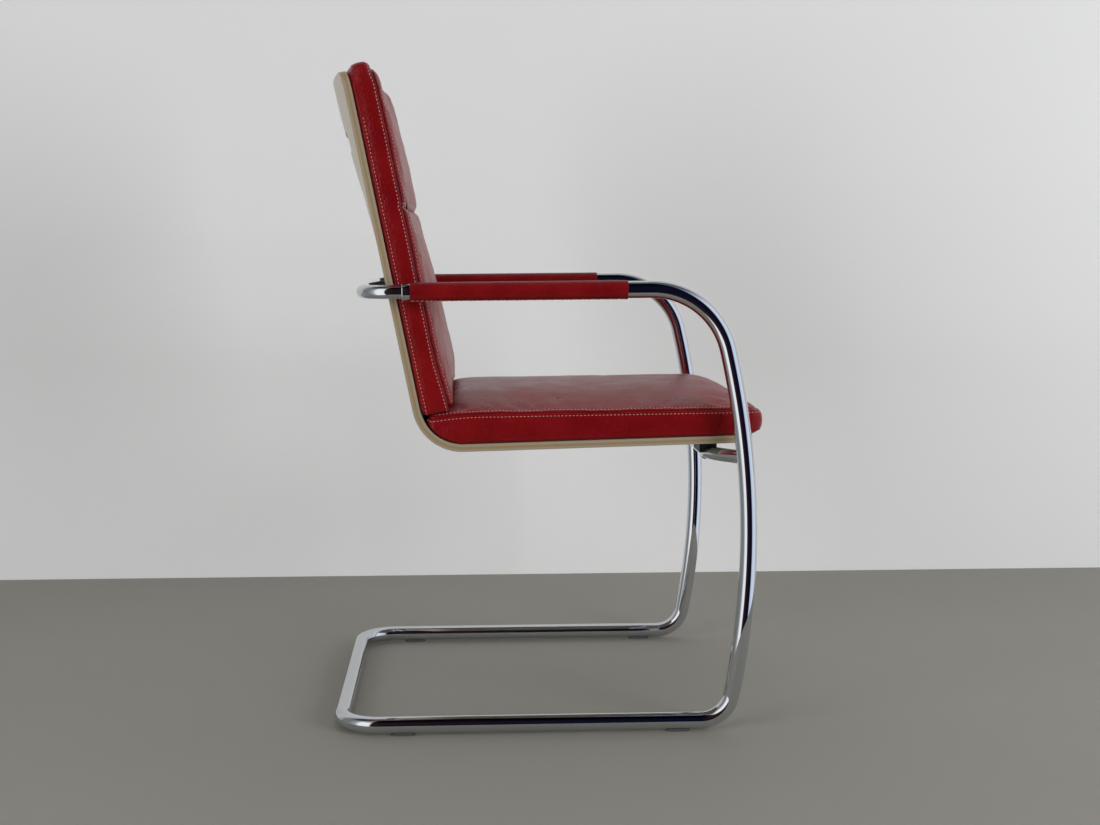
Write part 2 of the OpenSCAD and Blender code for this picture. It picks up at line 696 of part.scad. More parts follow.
// Low glide under the runner, with a peg through the tube's wall
module glide(p) {
    color("gray") difference() {
        translate([half_track, shift - p, 0]) {
            cylinder(h = glide_h + peg_len, d = peg_d);
            linear_extrude(glide_h + glide_lip) {
                square([glide_w, glide_len - glide_w], center = true);
                for (y = [-1, 1]) translate([0, y * (glide_len - glide_w) / 2]) circle(d = glide_w);
            }
        }
        difference() {
            translate([half_track, shift - p - glide_len, runner_z]) rotate([-90, 0, 0])
                cylinder(h = 2 * glide_len, r = tube_r + seat_fit);
            translate([half_track, shift - p, 0]) cylinder(h = runner_z, d = peg_d);
        }
    }
}

frame_tube();
seat_brace();
brace_saddle();  // brace_saddle_left
mirror([1, 0, 0]) brace_saddle();  // brace_saddle_right
brace_screws();
seat_inserts();
rear_bow();
collar();  // collar_left
mirror([1, 0, 0]) collar();  // collar_right
bow_spacer();  // bow_spacer_left
mirror([1, 0, 0]) bow_spacer();  // bow_spacer_right
bow_screws();
back_inserts();
seat_shell();
seat_pad_tape();
seat_pad_board();
seat_cushion();
back_pad_tape();
back_pad_board();
back_cushion();
arm_sleeve();  // arm_sleeve_left
mirror([1, 0, 0]) arm_sleeve();  // arm_sleeve_right
glide(glide_front);  // glide_front_left
mirror([1, 0, 0]) glide(glide_front);  // glide_front_right
glide(glide_rear);  // glide_rear_left
mirror([1, 0, 0]) glide(glide_rear);  // glide_rear_right
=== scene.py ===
import math

import bmesh
import bpy
import numpy as np
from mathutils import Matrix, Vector, noise
from mathutils.geometry import delaunay_2d_cdt


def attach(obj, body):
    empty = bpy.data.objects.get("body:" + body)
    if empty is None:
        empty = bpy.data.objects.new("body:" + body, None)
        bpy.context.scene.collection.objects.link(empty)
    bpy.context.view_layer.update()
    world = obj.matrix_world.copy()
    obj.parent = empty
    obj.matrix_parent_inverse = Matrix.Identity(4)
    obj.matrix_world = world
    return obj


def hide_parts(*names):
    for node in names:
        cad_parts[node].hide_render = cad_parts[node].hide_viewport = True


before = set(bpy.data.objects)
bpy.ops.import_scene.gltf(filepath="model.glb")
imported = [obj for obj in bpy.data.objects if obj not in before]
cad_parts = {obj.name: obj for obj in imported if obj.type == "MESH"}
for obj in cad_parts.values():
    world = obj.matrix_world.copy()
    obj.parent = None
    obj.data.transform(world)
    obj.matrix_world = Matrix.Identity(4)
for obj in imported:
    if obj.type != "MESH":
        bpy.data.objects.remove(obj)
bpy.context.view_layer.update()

# Camera. A 50 mm lens two and a half metres away, level with the arms and turned slightly down,
# sees the chair's right side. Sizes below are in millimetres, and MM turns them to metres.
MM = 0.001
scene = bpy.context.scene
scene.view_settings.view_transform = "Standard"


def new_object(name, data, place=(0, 0, 0), way=None):
    """An object in the scene at a place, a lamp or a camera also with the way that it faces"""
    made = bpy.data.objects.new(name, data)
    made.location = place
    if way is not None:
        made.rotation_euler = way.to_track_quat("-Z", "Y").to_euler()
    scene.collection.objects.link(made)
    return made


lens = bpy.data.cameras.new("camera")
lens.sensor_width = 36
lens.lens = 50.53
lens.clip_end = 100
heading, dip = math.radians(3.065), math.radians(6.37)
gaze = Vector((math.cos(heading) * math.cos(dip), -math.sin(heading) * math.cos(dip), -math.sin(dip)))
scene.camera = new_object("camera", lens, (-2.502, 0.1154, 0.7293), gaze)

# Frame tube. One 25 mm steel tube, bent cold and chromed, runs from arm to arm: arm, bowed upright,
# runner, rear floor bar and back again. The sweep follows the arcs on which the tube is bent.
REAR = 320.17
half_track, tube_r, runner_z, arm_z = 270.0, 12.5, 15.0, 658.5
foot_r, arm_r, rear_r = 47.0, 115.0, 60.0
foot_angle, top_angle, arm_rise = 79.0, 103.5, 0.5
arm_heading = 180 + arm_rise
leg_top_p, arm_tip = 618.5, 123.0
lead, mid_p = 3.0, 300.0  # a point this close to a bend keeps the straight beside it straight


def side_point(p, z, x):
    """A place in the chair's side plane, p forward of the base's rear, as a point in metres"""
    return Vector((x, REAR - p, z)) * MM


def turn_cos(degrees):
    return math.cos(math.radians(degrees))


def turn_sin(degrees):
    return math.sin(math.radians(degrees))


def swung(centre, radius, degrees):
    """A place (p, z) of the side plane at a heading from a centre"""
    return (centre[0] + radius * turn_sin(degrees), centre[1] - radius * turn_cos(degrees))


def arc(centre, radius, start, end, step):
    """Places on an arc of the side plane between two headings in degrees"""
    count = max(2, round(abs(end - start) / step))
    return [swung(centre, radius, start + (end - start) * i / count) for i in range(count + 1)]


def colour(code):
    """A linear colour from an sRGB hex code"""
    parts = [int(code[i:i + 2], 16) / 255 for i in (1, 3, 5)]
    return [c / 12.92 if c <= 0.04045 else ((c + 0.055) / 1.055) ** 2.4 for c in parts] + [1.0]


def put(node, inputs):
    """Sets or links a node's inputs. A node given as a value stands for its first output, and a text
    for the colour of that code"""
    for socket, value in inputs.items():
        if isinstance(value, bpy.types.Node):
            value = value.outputs[0]
        elif isinstance(value, str):
            value = colour(value)
        if isinstance(value, bpy.types.NodeSocket):
            node.id_data.links.new(value, node.inputs[socket])
        else:
            node.inputs[socket].default_value = value


def add(tree, kind, inputs=None, **settings):
    """Adds a node with its settings and inputs. A shader node goes by its name without that prefix"""
    node = tree.nodes.new(kind if "Node" in kind else "ShaderNode" + kind)
    for name, value in settings.items():
        setattr(node, name, value)
    put(node, inputs or {})
    return node


def calc(tree, operation, *values):
    """Arithmetic of one kind on one to three values"""
    return add(tree, "Math", dict(enumerate(values)), operation=operation)


def remap(tree, value, source, target=(0, 1), **settings):
    """A value moved from one range to another, and held within it"""
    return add(tree, "MapRange", {"Value": value, "From Min": source[0], "From Max": source[1],
                                  "To Min": target[0], "To Max": target[1]}, **settings)


def noise_of(tree, where, size, detail=2.0):
    """Noise whose lumps have a size in millimetres"""
    return add(tree, "TexNoise", {"Vector": where, "Scale": 1000 / size, "Detail": detail})


def blend(tree, share, first, second):
    """A share of the second colour in the first"""
    return add(tree, "Mix", {0: share, 6: first, 7: second}, data_type="RGBA").outputs[2]


def new_material(name, **values):
    """A material, its tree and its main shader, with plain values set on the shader's sockets"""
    made = bpy.data.materials.new(name)
    made.use_nodes = True
    shader = made.node_tree.nodes["Principled BSDF"]
    put(shader, {socket.replace("_", " "): value for socket, value in values.items()})
    return made, made.node_tree, shader


def new_tree(name, inputs):
    """A Geometry Nodes tree with named inputs, and its group input"""
    tree = bpy.data.node_groups.new(name, "GeometryNodeTree")
    for label, kind, value in inputs:
        socket = tree.interface.new_socket(label, in_out="INPUT", socket_type="NodeSocket" + kind)
        if value is not None:
            socket.default_value = value
    tree.interface.new_socket("Made", in_out="OUTPUT", socket_type="NodeSocketGeometry")
    return tree, add(tree, "NodeGroupInput")


def end_tree(tree, geometry, finish):
    """Smooths what the tree made, makes it real, gives it its material and ends the tree"""
    smooth = add(tree, "GeometryNodeSetShadeSmooth", {"Geometry": geometry})
    real = add(tree, "GeometryNodeRealizeInstances", {"Geometry": smooth})
    done = add(tree, "GeometryNodeSetMaterial", {"Geometry": real, "Material": finish})
    add(tree, "NodeGroupOutput", {"Made": done})


def grow(name, mesh, tree, **inputs):
    """Turns what a Geometry Nodes tree makes of a mesh into a plain object"""
    piece = new_object(name, mesh)
    modifier = piece.modifiers.new("grow", "NODES")
    modifier.node_group = tree
    for item in tree.interface.items_tree:
        if item.in_out == "INPUT" and item.name in inputs:
            modifier[item.identifier] = inputs[item.name]
    piece.update_tag()
    graph = bpy.context.evaluated_depsgraph_get()
    made = bpy.data.meshes.new_from_object(piece.evaluated_get(graph), depsgraph=graph)
    piece.modifiers.clear()
    piece.data = made
    made.name = name
    return piece


def line_mesh(lines, closed=False):
    """Edges through each list of points"""
    points, edges = [], []
    for line in lines:
        first = len(points)
        points += [tuple(point) for point in line]
        edges += [(first + i, first + i + 1) for i in range(len(line) - 1)]
        if closed:
            edges.append((len(points) - 1, first))
    mesh = bpy.data.meshes.new("path")
    mesh.from_pydata(points, edges, [])
    return mesh


def mirrored(points):
    return [Vector((-point.x, point.y, point.z)) for point in points]


foot_rise = foot_r * (1 - turn_cos(foot_angle))
arm_drop = arm_r * (turn_cos(top_angle) - turn_cos(arm_heading))
leg_r = (arm_z - runner_z - foot_rise - arm_drop) / (turn_cos(foot_angle) - turn_cos(top_angle))
leg_c = (leg_top_p - leg_r, runner_z + foot_rise + leg_r * turn_cos(foot_angle))
foot_c = swung(leg_c, leg_r - foot_r, foot_angle)
arm_c = swung(leg_c, leg_r - arm_r, top_angle)
arm_end = swung(arm_c, arm_r, arm_heading)


def arm_at(p):
    """The arm's axis over a place p in the side plane"""
    return (p, arm_end[1] - (arm_end[0] - p) * math.tan(math.radians(arm_rise)))


side_run = [arm_at(p) for p in (arm_tip, arm_tip + lead, mid_p, arm_end[0] - lead)]
side_run += arc(arm_c, arm_r, arm_heading, top_angle, 1.5)
side_run += arc(leg_c, leg_r, top_angle, foot_angle, 0.35)[1:] + arc(foot_c, foot_r, foot_angle, 0, 2)[1:]
bend_p = tube_r + rear_r
side_run += [(p, runner_z) for p in (foot_c[0] - lead, mid_p, bend_p + lead)]
half_way = [side_point(p, z, half_track) for p, z in side_run]
half_way += [side_point(bend_p - rear_r * turn_sin(t), runner_z, half_track - rear_r * (1 - turn_cos(t)))
             for t in range(0, 91, 2)]
half_way += [side_point(tube_r, runner_z, half_track - rear_r - lead), side_point(tube_r, runner_z, 0)]

# Polished chrome plate over steel: a near mirror with a trace of handling haze. Chrome reflects a
# little over half of the light, slightly cold, so white lamps stay white and the room goes grey.
chrome, tree, shader = new_material("chrome_plated_steel", Metallic=1.0, Base_Color="#D3D6DA")
where = add(tree, "TexCoord").outputs["Object"]
haze = remap(tree, noise_of(tree, where, 45, 4.0), (0.35, 0.75), (0.015, 0.06))
ripple = add(tree, "Bump", {"Height": noise_of(tree, where, 30), "Strength": 0.02, "Distance": 0.0004})
put(shader, {"Roughness": haze, "Normal": ripple})

sweep, sweep_in = new_tree("Bent tube", [("Path", "Geometry", None), ("Radius", "Float", 0.01),
                                         ("Sides", "Int", 48), ("Finish", "Material", None)])
way = add(sweep, "GeometryNodeMeshToCurve", {"Mesh": sweep_in.outputs["Path"]})
ring = add(sweep, "GeometryNodeCurvePrimitiveCircle", {"Resolution": sweep_in.outputs["Sides"],
                                                       "Radius": sweep_in.outputs["Radius"]})
skin = add(sweep, "GeometryNodeCurveToMesh", {"Curve": way, "Profile Curve": ring, "Fill Caps": True})
end_tree(sweep, skin, sweep_in.outputs["Finish"])

frame_piece = grow("chromed_frame", line_mesh([half_way + mirrored(half_way[-2::-1])]), sweep,
                   Radius=tube_r * MM, Sides=56, Finish=chrome)
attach(frame_piece, "root")
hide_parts("frame_tube")

# Glides. Four low pads of moulded nylon, dark and half dull, plug into holes under the runners with a
# peg each. They keep the chrome off the floor and stay as they are in the construction.
def grained(name, grain, detail=2.0, tones=None, rough=None, relief=None, **values):
    """A material whose noise, of a grain in millimetres, drives its colour, its gloss or its relief"""
    made, tree, shader = new_material(name, **values)
    where = add(tree, "TexCoord").outputs["Object"]
    fine = noise_of(tree, where, grain, detail)
    if tones:
        put(shader, {"Base Color": blend(tree, fine, *tones)})
    if rough:
        put(shader, {"Roughness": remap(tree, fine, (0, 1), rough)})
    if relief:
        grit = add(tree, "Bump", {"Height": fine, "Strength": relief[0], "Distance": relief[1]})
        put(shader, {"Normal": grit})
    return made


def dress(finish, *names):
    """Gives construction nodes that stay their material"""
    for name in names:
        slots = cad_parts[name].data.materials
        slots.clear()
        slots.append(finish)


nylon = grained("moulded_nylon", 6, 3.0, ("#464646", "#555554"), Roughness=0.45, IOR=1.53)
dress(nylon, "glide_front_left", "glide_front_right", "glide_rear_left", "glide_rear_right")

# Brace under the seat. A 20 mm chromed tube bows rearwards between the uprights and is welded to
# both. It carries the shell on two black moulded saddles, each held by a screw from below.
brace_z, setback, brace_turn, brace_bend_r, thin_r = 411.11, 46.0, 40, 80.0, 10.0
brace_p = leg_c[0] + math.sqrt(leg_r ** 2 - (brace_z - leg_c[1]) ** 2) - setback
stub = (setback - brace_bend_r * (1 - turn_cos(brace_turn))) / turn_sin(brace_turn)
bend_x = half_track - stub * turn_cos(brace_turn) - brace_bend_r * turn_sin(brace_turn)
brace_half = [(bend_x + brace_bend_r * turn_sin(t), brace_p + brace_bend_r * (1 - turn_cos(t)))
              for t in range(0, brace_turn + 1, 2)]
last_x, last_p = brace_half[-1]
end_x = half_track - lead
brace_half.append((end_x, last_p + (end_x - last_x) * math.tan(math.radians(brace_turn))))
brace_way = [side_point(p, brace_z, x) for x, p in [(0, brace_p), (bend_x - lead, brace_p)] + brace_half]
brace = grow("seat_brace_tube", line_mesh([mirrored(brace_way[:0:-1]) + brace_way]), sweep,
             Radius=thin_r * MM, Sides=48, Finish=chrome)
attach(brace, "root")
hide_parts("seat_brace")

# Moulded black plastic: spark-eroded tool texture, so the gloss is soft and slightly uneven.
black = grained("moulded_black_plastic", 0.8, rough=(0.38, 0.6), relief=(0.3, 0.0001),
                Base_Color="#1B1B1C", IOR=1.5)
dress(black, "brace_saddle_left", "brace_saddle_right")

# Brass inserts, drawn and threaded, sit hidden in the plywood where the screws bite.
brass = grained("turned_brass", 0.7, rough=(0.2, 0.4), Metallic=1.0, Base_Color="#C9A65A")
dress(brass, "seat_inserts", "back_inserts")

# Bow behind the back. A 20 mm chromed tube plugs into both arms and is bent round behind the back,
# where it holds the shell on two black bushes. A turned chrome ring covers each joint.
bow_p, bow_bend_r, plug_len = 53.0, 45.0, 40.0
bow_base = arm_at(bow_p)
reach = (arm_tip - bow_p) / turn_cos(arm_rise)


def bow_point(x, forward):
    """A place in the plane of the arms, forward of the bow's middle"""
    p, z = (base + forward * turn(arm_rise) for base, turn in zip(bow_base, (turn_cos, turn_sin)))
    return side_point(p, z, x)


bow_half = [(half_track, reach + plug_len), (half_track, reach), (half_track, bow_bend_r + lead)]
bow_half += [(half_track - bow_bend_r * (1 - turn_cos(t)), bow_bend_r - bow_bend_r * turn_sin(t))
             for t in range(0, 91, 2)]
bow_half += [(half_track - bow_bend_r - lead, 0), (0, 0)]
bow_way = [bow_point(x, forward) for x, forward in bow_half]
bow = grow("rear_bow_tube", line_mesh([bow_way + mirrored(bow_way[-2::-1])]), sweep,
           Radius=thin_r * MM, Sides=48, Finish=chrome)
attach(bow, "root")
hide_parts("rear_bow")
dress(black, "bow_spacer_left", "bow_spacer_right")


def new_piece(name, points, faces, *finishes):
    """A smooth piece from points in metres, its faces turned outwards"""
    mesh = bpy.data.meshes.new(name)
    mesh.from_pydata([tuple(point) for point in points], [], faces)
    for finish in finishes:
        mesh.materials.append(finish)
    work = bmesh.new()
    work.from_mesh(mesh)
    bmesh.ops.recalc_face_normals(work, faces=work.faces)
    work.to_mesh(mesh)
    work.free()
    mesh.shade_smooth()
    return new_object(name, mesh)


def bridge(low, high):
    """Faces between two closed rings of vertex numbers"""
    count = len(low)
    return [(low[i], low[(i + 1) % count], high[(i + 1) % count], high[i]) for i in range(count)]


def turned(profile, origin, axis, sides):
    """Points and faces of a closed profile of (radius, height) turned about an axis"""
    across = axis.orthogonal().normalized()
    around = axis.cross(across)
    points = [origin + (axis * h + (across * math.cos(t) + around * math.sin(t)) * r) * MM
              for t in np.linspace(0, 2 * math.pi, sides, endpoint=False) for r, h in profile]
    rings = np.arange(len(points)).reshape(sides, -1)
    return points, [face for i in range(sides) for face in bridge(rings[i], rings[(i + 1) % sides])]


for side, name in ((1, "left"), (-1, "right")):
    axis = Vector((0, turn_cos(arm_rise), -turn_sin(arm_rise)))
    profile = [(10.1, 0.1), (12.3, 0.1), (12.6, 0.25), (12.7, 0.6), (12.75, 1.2), (12.75, 10.6),
               (12.6, 11.4), (12.2, 11.9), (11.6, 12.1), (10.6, 12.1), (10.1, 11.8)]
    points, faces = turned(profile, side_point(*arm_at(arm_tip), side * half_track), axis, 48)
    collar = new_piece("chrome_ring_" + name, points, faces, chrome)
    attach(collar, "root")
    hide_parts("collar_" + name)

# Plywood shell. Beech veneers are glued and pressed in one mould: flat seat, tight bend and a back
# whose upper part is hollowed, with two slots cut through. The edge shows the layers.
ply, half_seat, half_top = 11.0, 238.0, 223.0
seat_len, back_len, bend_r, corner_r = 497.0, 568.0, 75.0, 28.0
seat_pitch, back_lean = 1.5, 11.4
hollow, hollow_start = 26.0, 172.0
slot_len, slot_h, slots_down = 280.0, 28.0, (95, 182)
corner = np.array([136.0, 416.5])
seat_dir = np.array([turn_cos(seat_pitch), turn_sin(seat_pitch)])
seat_up = np.array([-seat_dir[1], seat_dir[0]])
back_dir = np.array([-turn_sin(back_lean), turn_cos(back_lean)])
back_in = np.array([back_dir[1], -back_dir[0]])
bend_turn = math.radians(90 - back_lean + seat_pitch)
bend_tangent = bend_r * math.tan(bend_turn / 2)
bend_c = corner + bend_tangent * seat_dir + bend_r * seat_up
bend_from = seat_len - bend_tangent
bend_to = bend_from + bend_r * bend_turn
shell_len = bend_to + back_len - bend_tangent


def ease(t):
    """A smooth step from 0 to 1"""
    t = np.clip(t, 0, 1)
    return t * t * (3 - 2 * t)


def half_width(a):
    narrowing = np.clip((a - hollow_start) / (back_len - hollow_start), 0, None)
    return half_seat - (half_seat - half_top) * narrowing


def sag(a, x):
    """How deep the back is hollowed at a place"""
    return hollow * ease((a - hollow_start) / (back_len - hollow_start)) * (1 - (x / half_width(a)) ** 2)


def in_world(pz, x):
    """Points in metres from places (p, z) in the side plane"""
    return np.stack([x, REAR - pz[:, 0], pz[:, 1]], axis=1) * MM


def seat_place(a, x, n):
    return in_world(corner + a[:, None] * seat_dir + n[:, None] * seat_up, x)


def back_place(a, x, n):
    return in_world(corner + a[:, None] * back_dir + (n - sag(a, x))[:, None] * back_in, x)


def shell_place(s, x, n):
    """A point of the bent shell: s along it from the front edge, x across, n off the outer face"""
    turn = np.clip((s - bend_from) / bend_r, 0, bend_turn) - math.radians(seat_pitch)
    arm = np.stack([-np.sin(turn), -np.cos(turn)], axis=1)
    bend = in_world(bend_c + (bend_r - n)[:, None] * arm, x)
    seat = seat_place(seat_len - s, x, n)
    back = back_place(bend_tangent + s - bend_to, x, n)
    return np.where((s < bend_from)[:, None], seat, np.where((s > bend_to)[:, None], back, bend))


def rounded(a0, a1, width_at, r0, r1):
    """Dense closed outline in (along, across), with rounded corners of two radii"""
    run_steps, turn_steps = 400, 24
    run = np.linspace(a0 + r0, a1 - r1, run_steps)
    turn = np.radians(np.linspace(0, 90, turn_steps))
    w0, w1 = width_at(np.full_like(turn, a0)), width_at(np.full_like(turn, a1))
    half = np.concatenate([np.stack([a0 + r0 - r0 * np.cos(turn), w0 - r0 + r0 * np.sin(turn)], 1),
                           np.stack([run, width_at(run)], 1),
                           np.stack([a1 - r1 + r1 * np.sin(turn), w1 - r1 + r1 * np.cos(turn)], 1)])
    half = half[np.concatenate([[True], np.linalg.norm(np.diff(half, axis=0), axis=1) > 1e-6])]
    return np.concatenate([half, half[::-1] * [1, -1]])


def spaced(outline, spacing):
    """The closed outline with even spacing, and its inward directions"""
    closed = np.concatenate([outline, outline[:1]])
    steps = np.linalg.norm(np.diff(closed, axis=0), axis=1)
    middle = (closed[1:] + closed[:-1]) / 2
    weight = np.concatenate([[0], np.cumsum(steps / (spacing(middle) if callable(spacing) else spacing))])
    at = np.linspace(0, weight[-1], round(weight[-1]), endpoint=False)
    points = np.stack([np.interp(at, weight, closed[:, i]) for i in (0, 1)], 1)
    way = np.roll(points, -1, axis=0) - np.roll(points, 1, axis=0)
    way /= np.linalg.norm(way, axis=1)[:, None]
    inward = np.stack([way[:, 1], -way[:, 0]], 1)
    turned_in = np.sum(inward * (points.mean(axis=0) - points)) > 0
    return points, inward if turned_in else -inward


def inside(points, rim):
    """Which points lie inside a closed outline"""
    result = np.zeros(len(points), bool)
    for (ax, ay), (bx, by) in zip(rim, np.roll(rim, -1, axis=0)):
        if ay != by:
            result ^= ((ay > points[:, 1]) != (by > points[:, 1])) & (
                points[:, 0] < (bx - ax) * (points[:, 1] - ay) / (by - ay) + ax)
    return result


def fill(rims, spacing, extra=None):
    """Points inside a closed outline (the first) and outside the others, and triangles through all"""
    outer, row_share, clear_share = rims[0], 0.87, 0.45
    low, high = outer.min(axis=0), outer.max(axis=0)
    rows = np.arange(low[0] + spacing / 2, high[0], spacing * row_share)
    grid = []
    for i, row in enumerate(rows):
        across = np.arange(low[1] + spacing * (0.25 + 0.5 * (i % 2)), high[1], spacing)
        grid.append(np.stack([np.full(len(across), row), across], 1))
    grid = np.concatenate(grid)
    if extra is not None:
        gap = np.abs(grid[:, 0][:, None] - np.unique(extra[:, 0])[None, :]).min(axis=1)
        grid = np.concatenate([grid[gap > spacing * 0.4], extra])
    keep = inside(grid, outer)
    edge = np.concatenate(rims)
    for rim in rims[1:]:
        keep &= ~inside(grid, rim)
    grid = grid[keep]
    grid = grid[[np.min(np.sum((edge - g) ** 2, axis=1)) > (spacing * clear_share) ** 2 for g in grid]]
    points = np.concatenate([edge, grid])
    edges, first = [], 0
    for rim in rims:
        edges += [(first + i, first + (i + 1) % len(rim)) for i in range(len(rim))]
        first += len(rim)
    _, _, tris, origin, _, _ = delaunay_2d_cdt([Vector(p) for p in points], edges, [], 0, 1e-7)
    name = [ids[0] for ids in origin]
    tris = np.array([[name[i] for i in tri] for tri in tris])
    centre = points[tris].mean(axis=1)
    keep = inside(centre, outer)
    for rim in rims[1:]:
        keep &= ~inside(centre, rim)
    return points, tris[keep]


shell_half = lambda s: np.where(s < bend_to, half_seat, half_width(bend_tangent + s - bend_to))
shell_rims = [spaced(rounded(0, shell_len, shell_half, corner_r, corner_r), 5.0)]
for down in slots_down:
    turn = np.radians(np.linspace(-90, 90, 25))
    cap = np.stack([slot_h / 2 * np.sin(turn), (slot_len - slot_h) / 2 + slot_h / 2 * np.cos(turn)], 1)
    stadium = np.concatenate([cap, -cap]) + [bend_to + back_len - down - bend_tangent, 0]
    points, inward = spaced(stadium, 4.0)
    shell_rims.append((points, -inward))

# Each rim is a rounded edge of the plywood: insets and depths across its thickness
edge_profile = [(1.3, 0.0), (0.75, 0.12), (0.3, 0.4), (0.05, 0.9), (0.0, 1.6), (0.0, ply / 2)]
edge_profile += [(inset, ply - depth) for inset, depth in edge_profile[-2::-1]]
sheet, tris = fill([points + inward * edge_profile[0][0] for points, inward in shell_rims], 9.0)
rim_count = sum(len(points) for points, _ in shell_rims)
flat = [np.column_stack([sheet, np.zeros(len(sheet))]), np.column_stack([sheet, np.full(len(sheet), ply)])]
faces = [tuple(t) for t in tris] + [tuple(t + len(sheet)) for t in tris[:, ::-1]]
rim_faces, total = [], 2 * len(sheet)
rows = [np.arange(rim_count)]
for inset, depth in edge_profile[1:-1]:
    ring_points = np.concatenate([points + inward * inset for points, inward in shell_rims])
    flat.append(np.column_stack([ring_points, np.full(rim_count, depth)]))
    rows.append(total + np.arange(rim_count))
    total += rim_count
rows.append(len(sheet) + np.arange(rim_count))
first = 0
for points, _ in shell_rims:
    last = first + len(points)
    for low, high in zip(rows[:-1], rows[1:]):
        rim_faces += bridge(low[first:last], high[first:last])
    first = last
flat = np.concatenate(flat)

# Moulded beech plywood under clear lacquer: pale, cold veneer with short dark flecks along the
# grain, and on the edge two pale outer bands round a tan core, crossed by thin glue lines.
wood, tree, shader = new_material("lacquered_beech_plywood", Roughness=0.42, IOR=1.5, Coat_Weight=0.25,
                                  Coat_Roughness=0.2)
flat_at = add(tree, "Attribute", attribute_name="flat").outputs["Vector"]
is_rim = add(tree, "Attribute", attribute_name="rim").outputs["Fac"]
stretch = add(tree, "Mapping", {"Vector": flat_at, "Scale": (0.06, 1.0, 0.2)})
grain = add(tree, "TexNoise", {"Vector": stretch, "Scale": 1000 / 5, "Detail": 6.0, "Roughness": 0.65})
warmth = remap(tree, noise_of(tree, stretch, 60), (0.35, 0.7), (0, 0.35))
speck = add(tree, "Mapping", {"Vector": flat_at, "Scale": (0.3, 1.6, 1.0)})
speck = add(tree, "TexVoronoi", {"Vector": speck, "Scale": 1000 / 6})
fleck = remap(tree, speck.outputs["Distance"], (0.05, 0.16), (0.35, 0))
layers, core_layers, core_blur = 9, 1.5, 0.3
depth = add(tree, "SeparateXYZ", {"Vector": flat_at}).outputs["Z"]
layer = calc(tree, "MULTIPLY", depth, layers / (ply * MM))
glue = remap(tree, calc(tree, "FRACT", layer), (0.1, 0.26), (0.55, 0))
off_core = calc(tree, "ABSOLUTE", calc(tree, "SUBTRACT", layer, layers / 2))
core = remap(tree, off_core, (core_layers - core_blur, core_layers + core_blur), (0.7, 0))
face, edge = "#A89D8B", "#A3967F"
for share, tone in ((grain, "#C2B9A9"), (warmth, "#B29D80"), (fleck, "#9A8163")):
    face = blend(tree, share, face, tone)
for share, tone in ((core, "#957A58"), (glue, "#7E6A4C")):
    edge = blend(tree, share, edge, tone)
pores = add(tree, "Bump", {"Height": grain, "Strength": 0.25, "Distance": 0.0002})
put(shader, {"Base Color": blend(tree, is_rim, face, edge), "Normal": pores})


def mark(piece, name, kind, domain, values):
    """Gives a piece a named attribute for its material to read"""
    field = "vector" if kind == "FLOAT_VECTOR" else "value"
    piece.data.attributes.new(name, kind, domain).data.foreach_set(field, values)


shell = new_piece("plywood_shell", shell_place(*flat.T), faces + rim_faces, wood)
mark(shell, "flat", "FLOAT_VECTOR", "POINT", (flat * MM).ravel())
mark(shell, "rim", "FLOAT", "FACE", np.repeat([0.0, 1.0], [len(faces), len(rim_faces)]))
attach(shell, "root")
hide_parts("seat_shell")

# Boards and tapes. A thin fibreboard inside each pad carries it, and strips of hook-and-loop tape
# hold the pad on the shell. Both are hidden and stay as they are in the construction.
board = grained("hard_fibreboard", 2, 5.0, ("#7A5A3C", "#96754F"), Roughness=0.7)
dress(board, "seat_pad_board", "back_pad_board")

tape, tree, shader = new_material("hook_and_loop_tape", Roughness=0.9, Base_Color="#141415")
where = add(tree, "TexCoord").outputs["Object"]
loops = add(tree, "TexVoronoi", {"Vector": where, "Scale": 1000 / 1.2})
pile = add(tree, "Bump", {"Height": loops.outputs["Distance"], "Strength": 0.6, "Distance": 0.0004})
put(shader, {"Normal": pile})
dress(tape, "seat_pad_tape", "back_pad_tape")

# Seat pad. Red cowhide is sewn round a moulded foam block: a crowned top panel and a side panel
# joined by a seam with a stitch row on each side of it. Its rear end follows the shell's bend.
rise, half_pad, nose_end, tip = 13.0, 236.0, 505.0, 11.0
seat_side, nose_fall, rear_fall, rear_len = 45.5, 7, 8, 90
seat_crown, nose_roll, rear_roll = 22, 64, 60


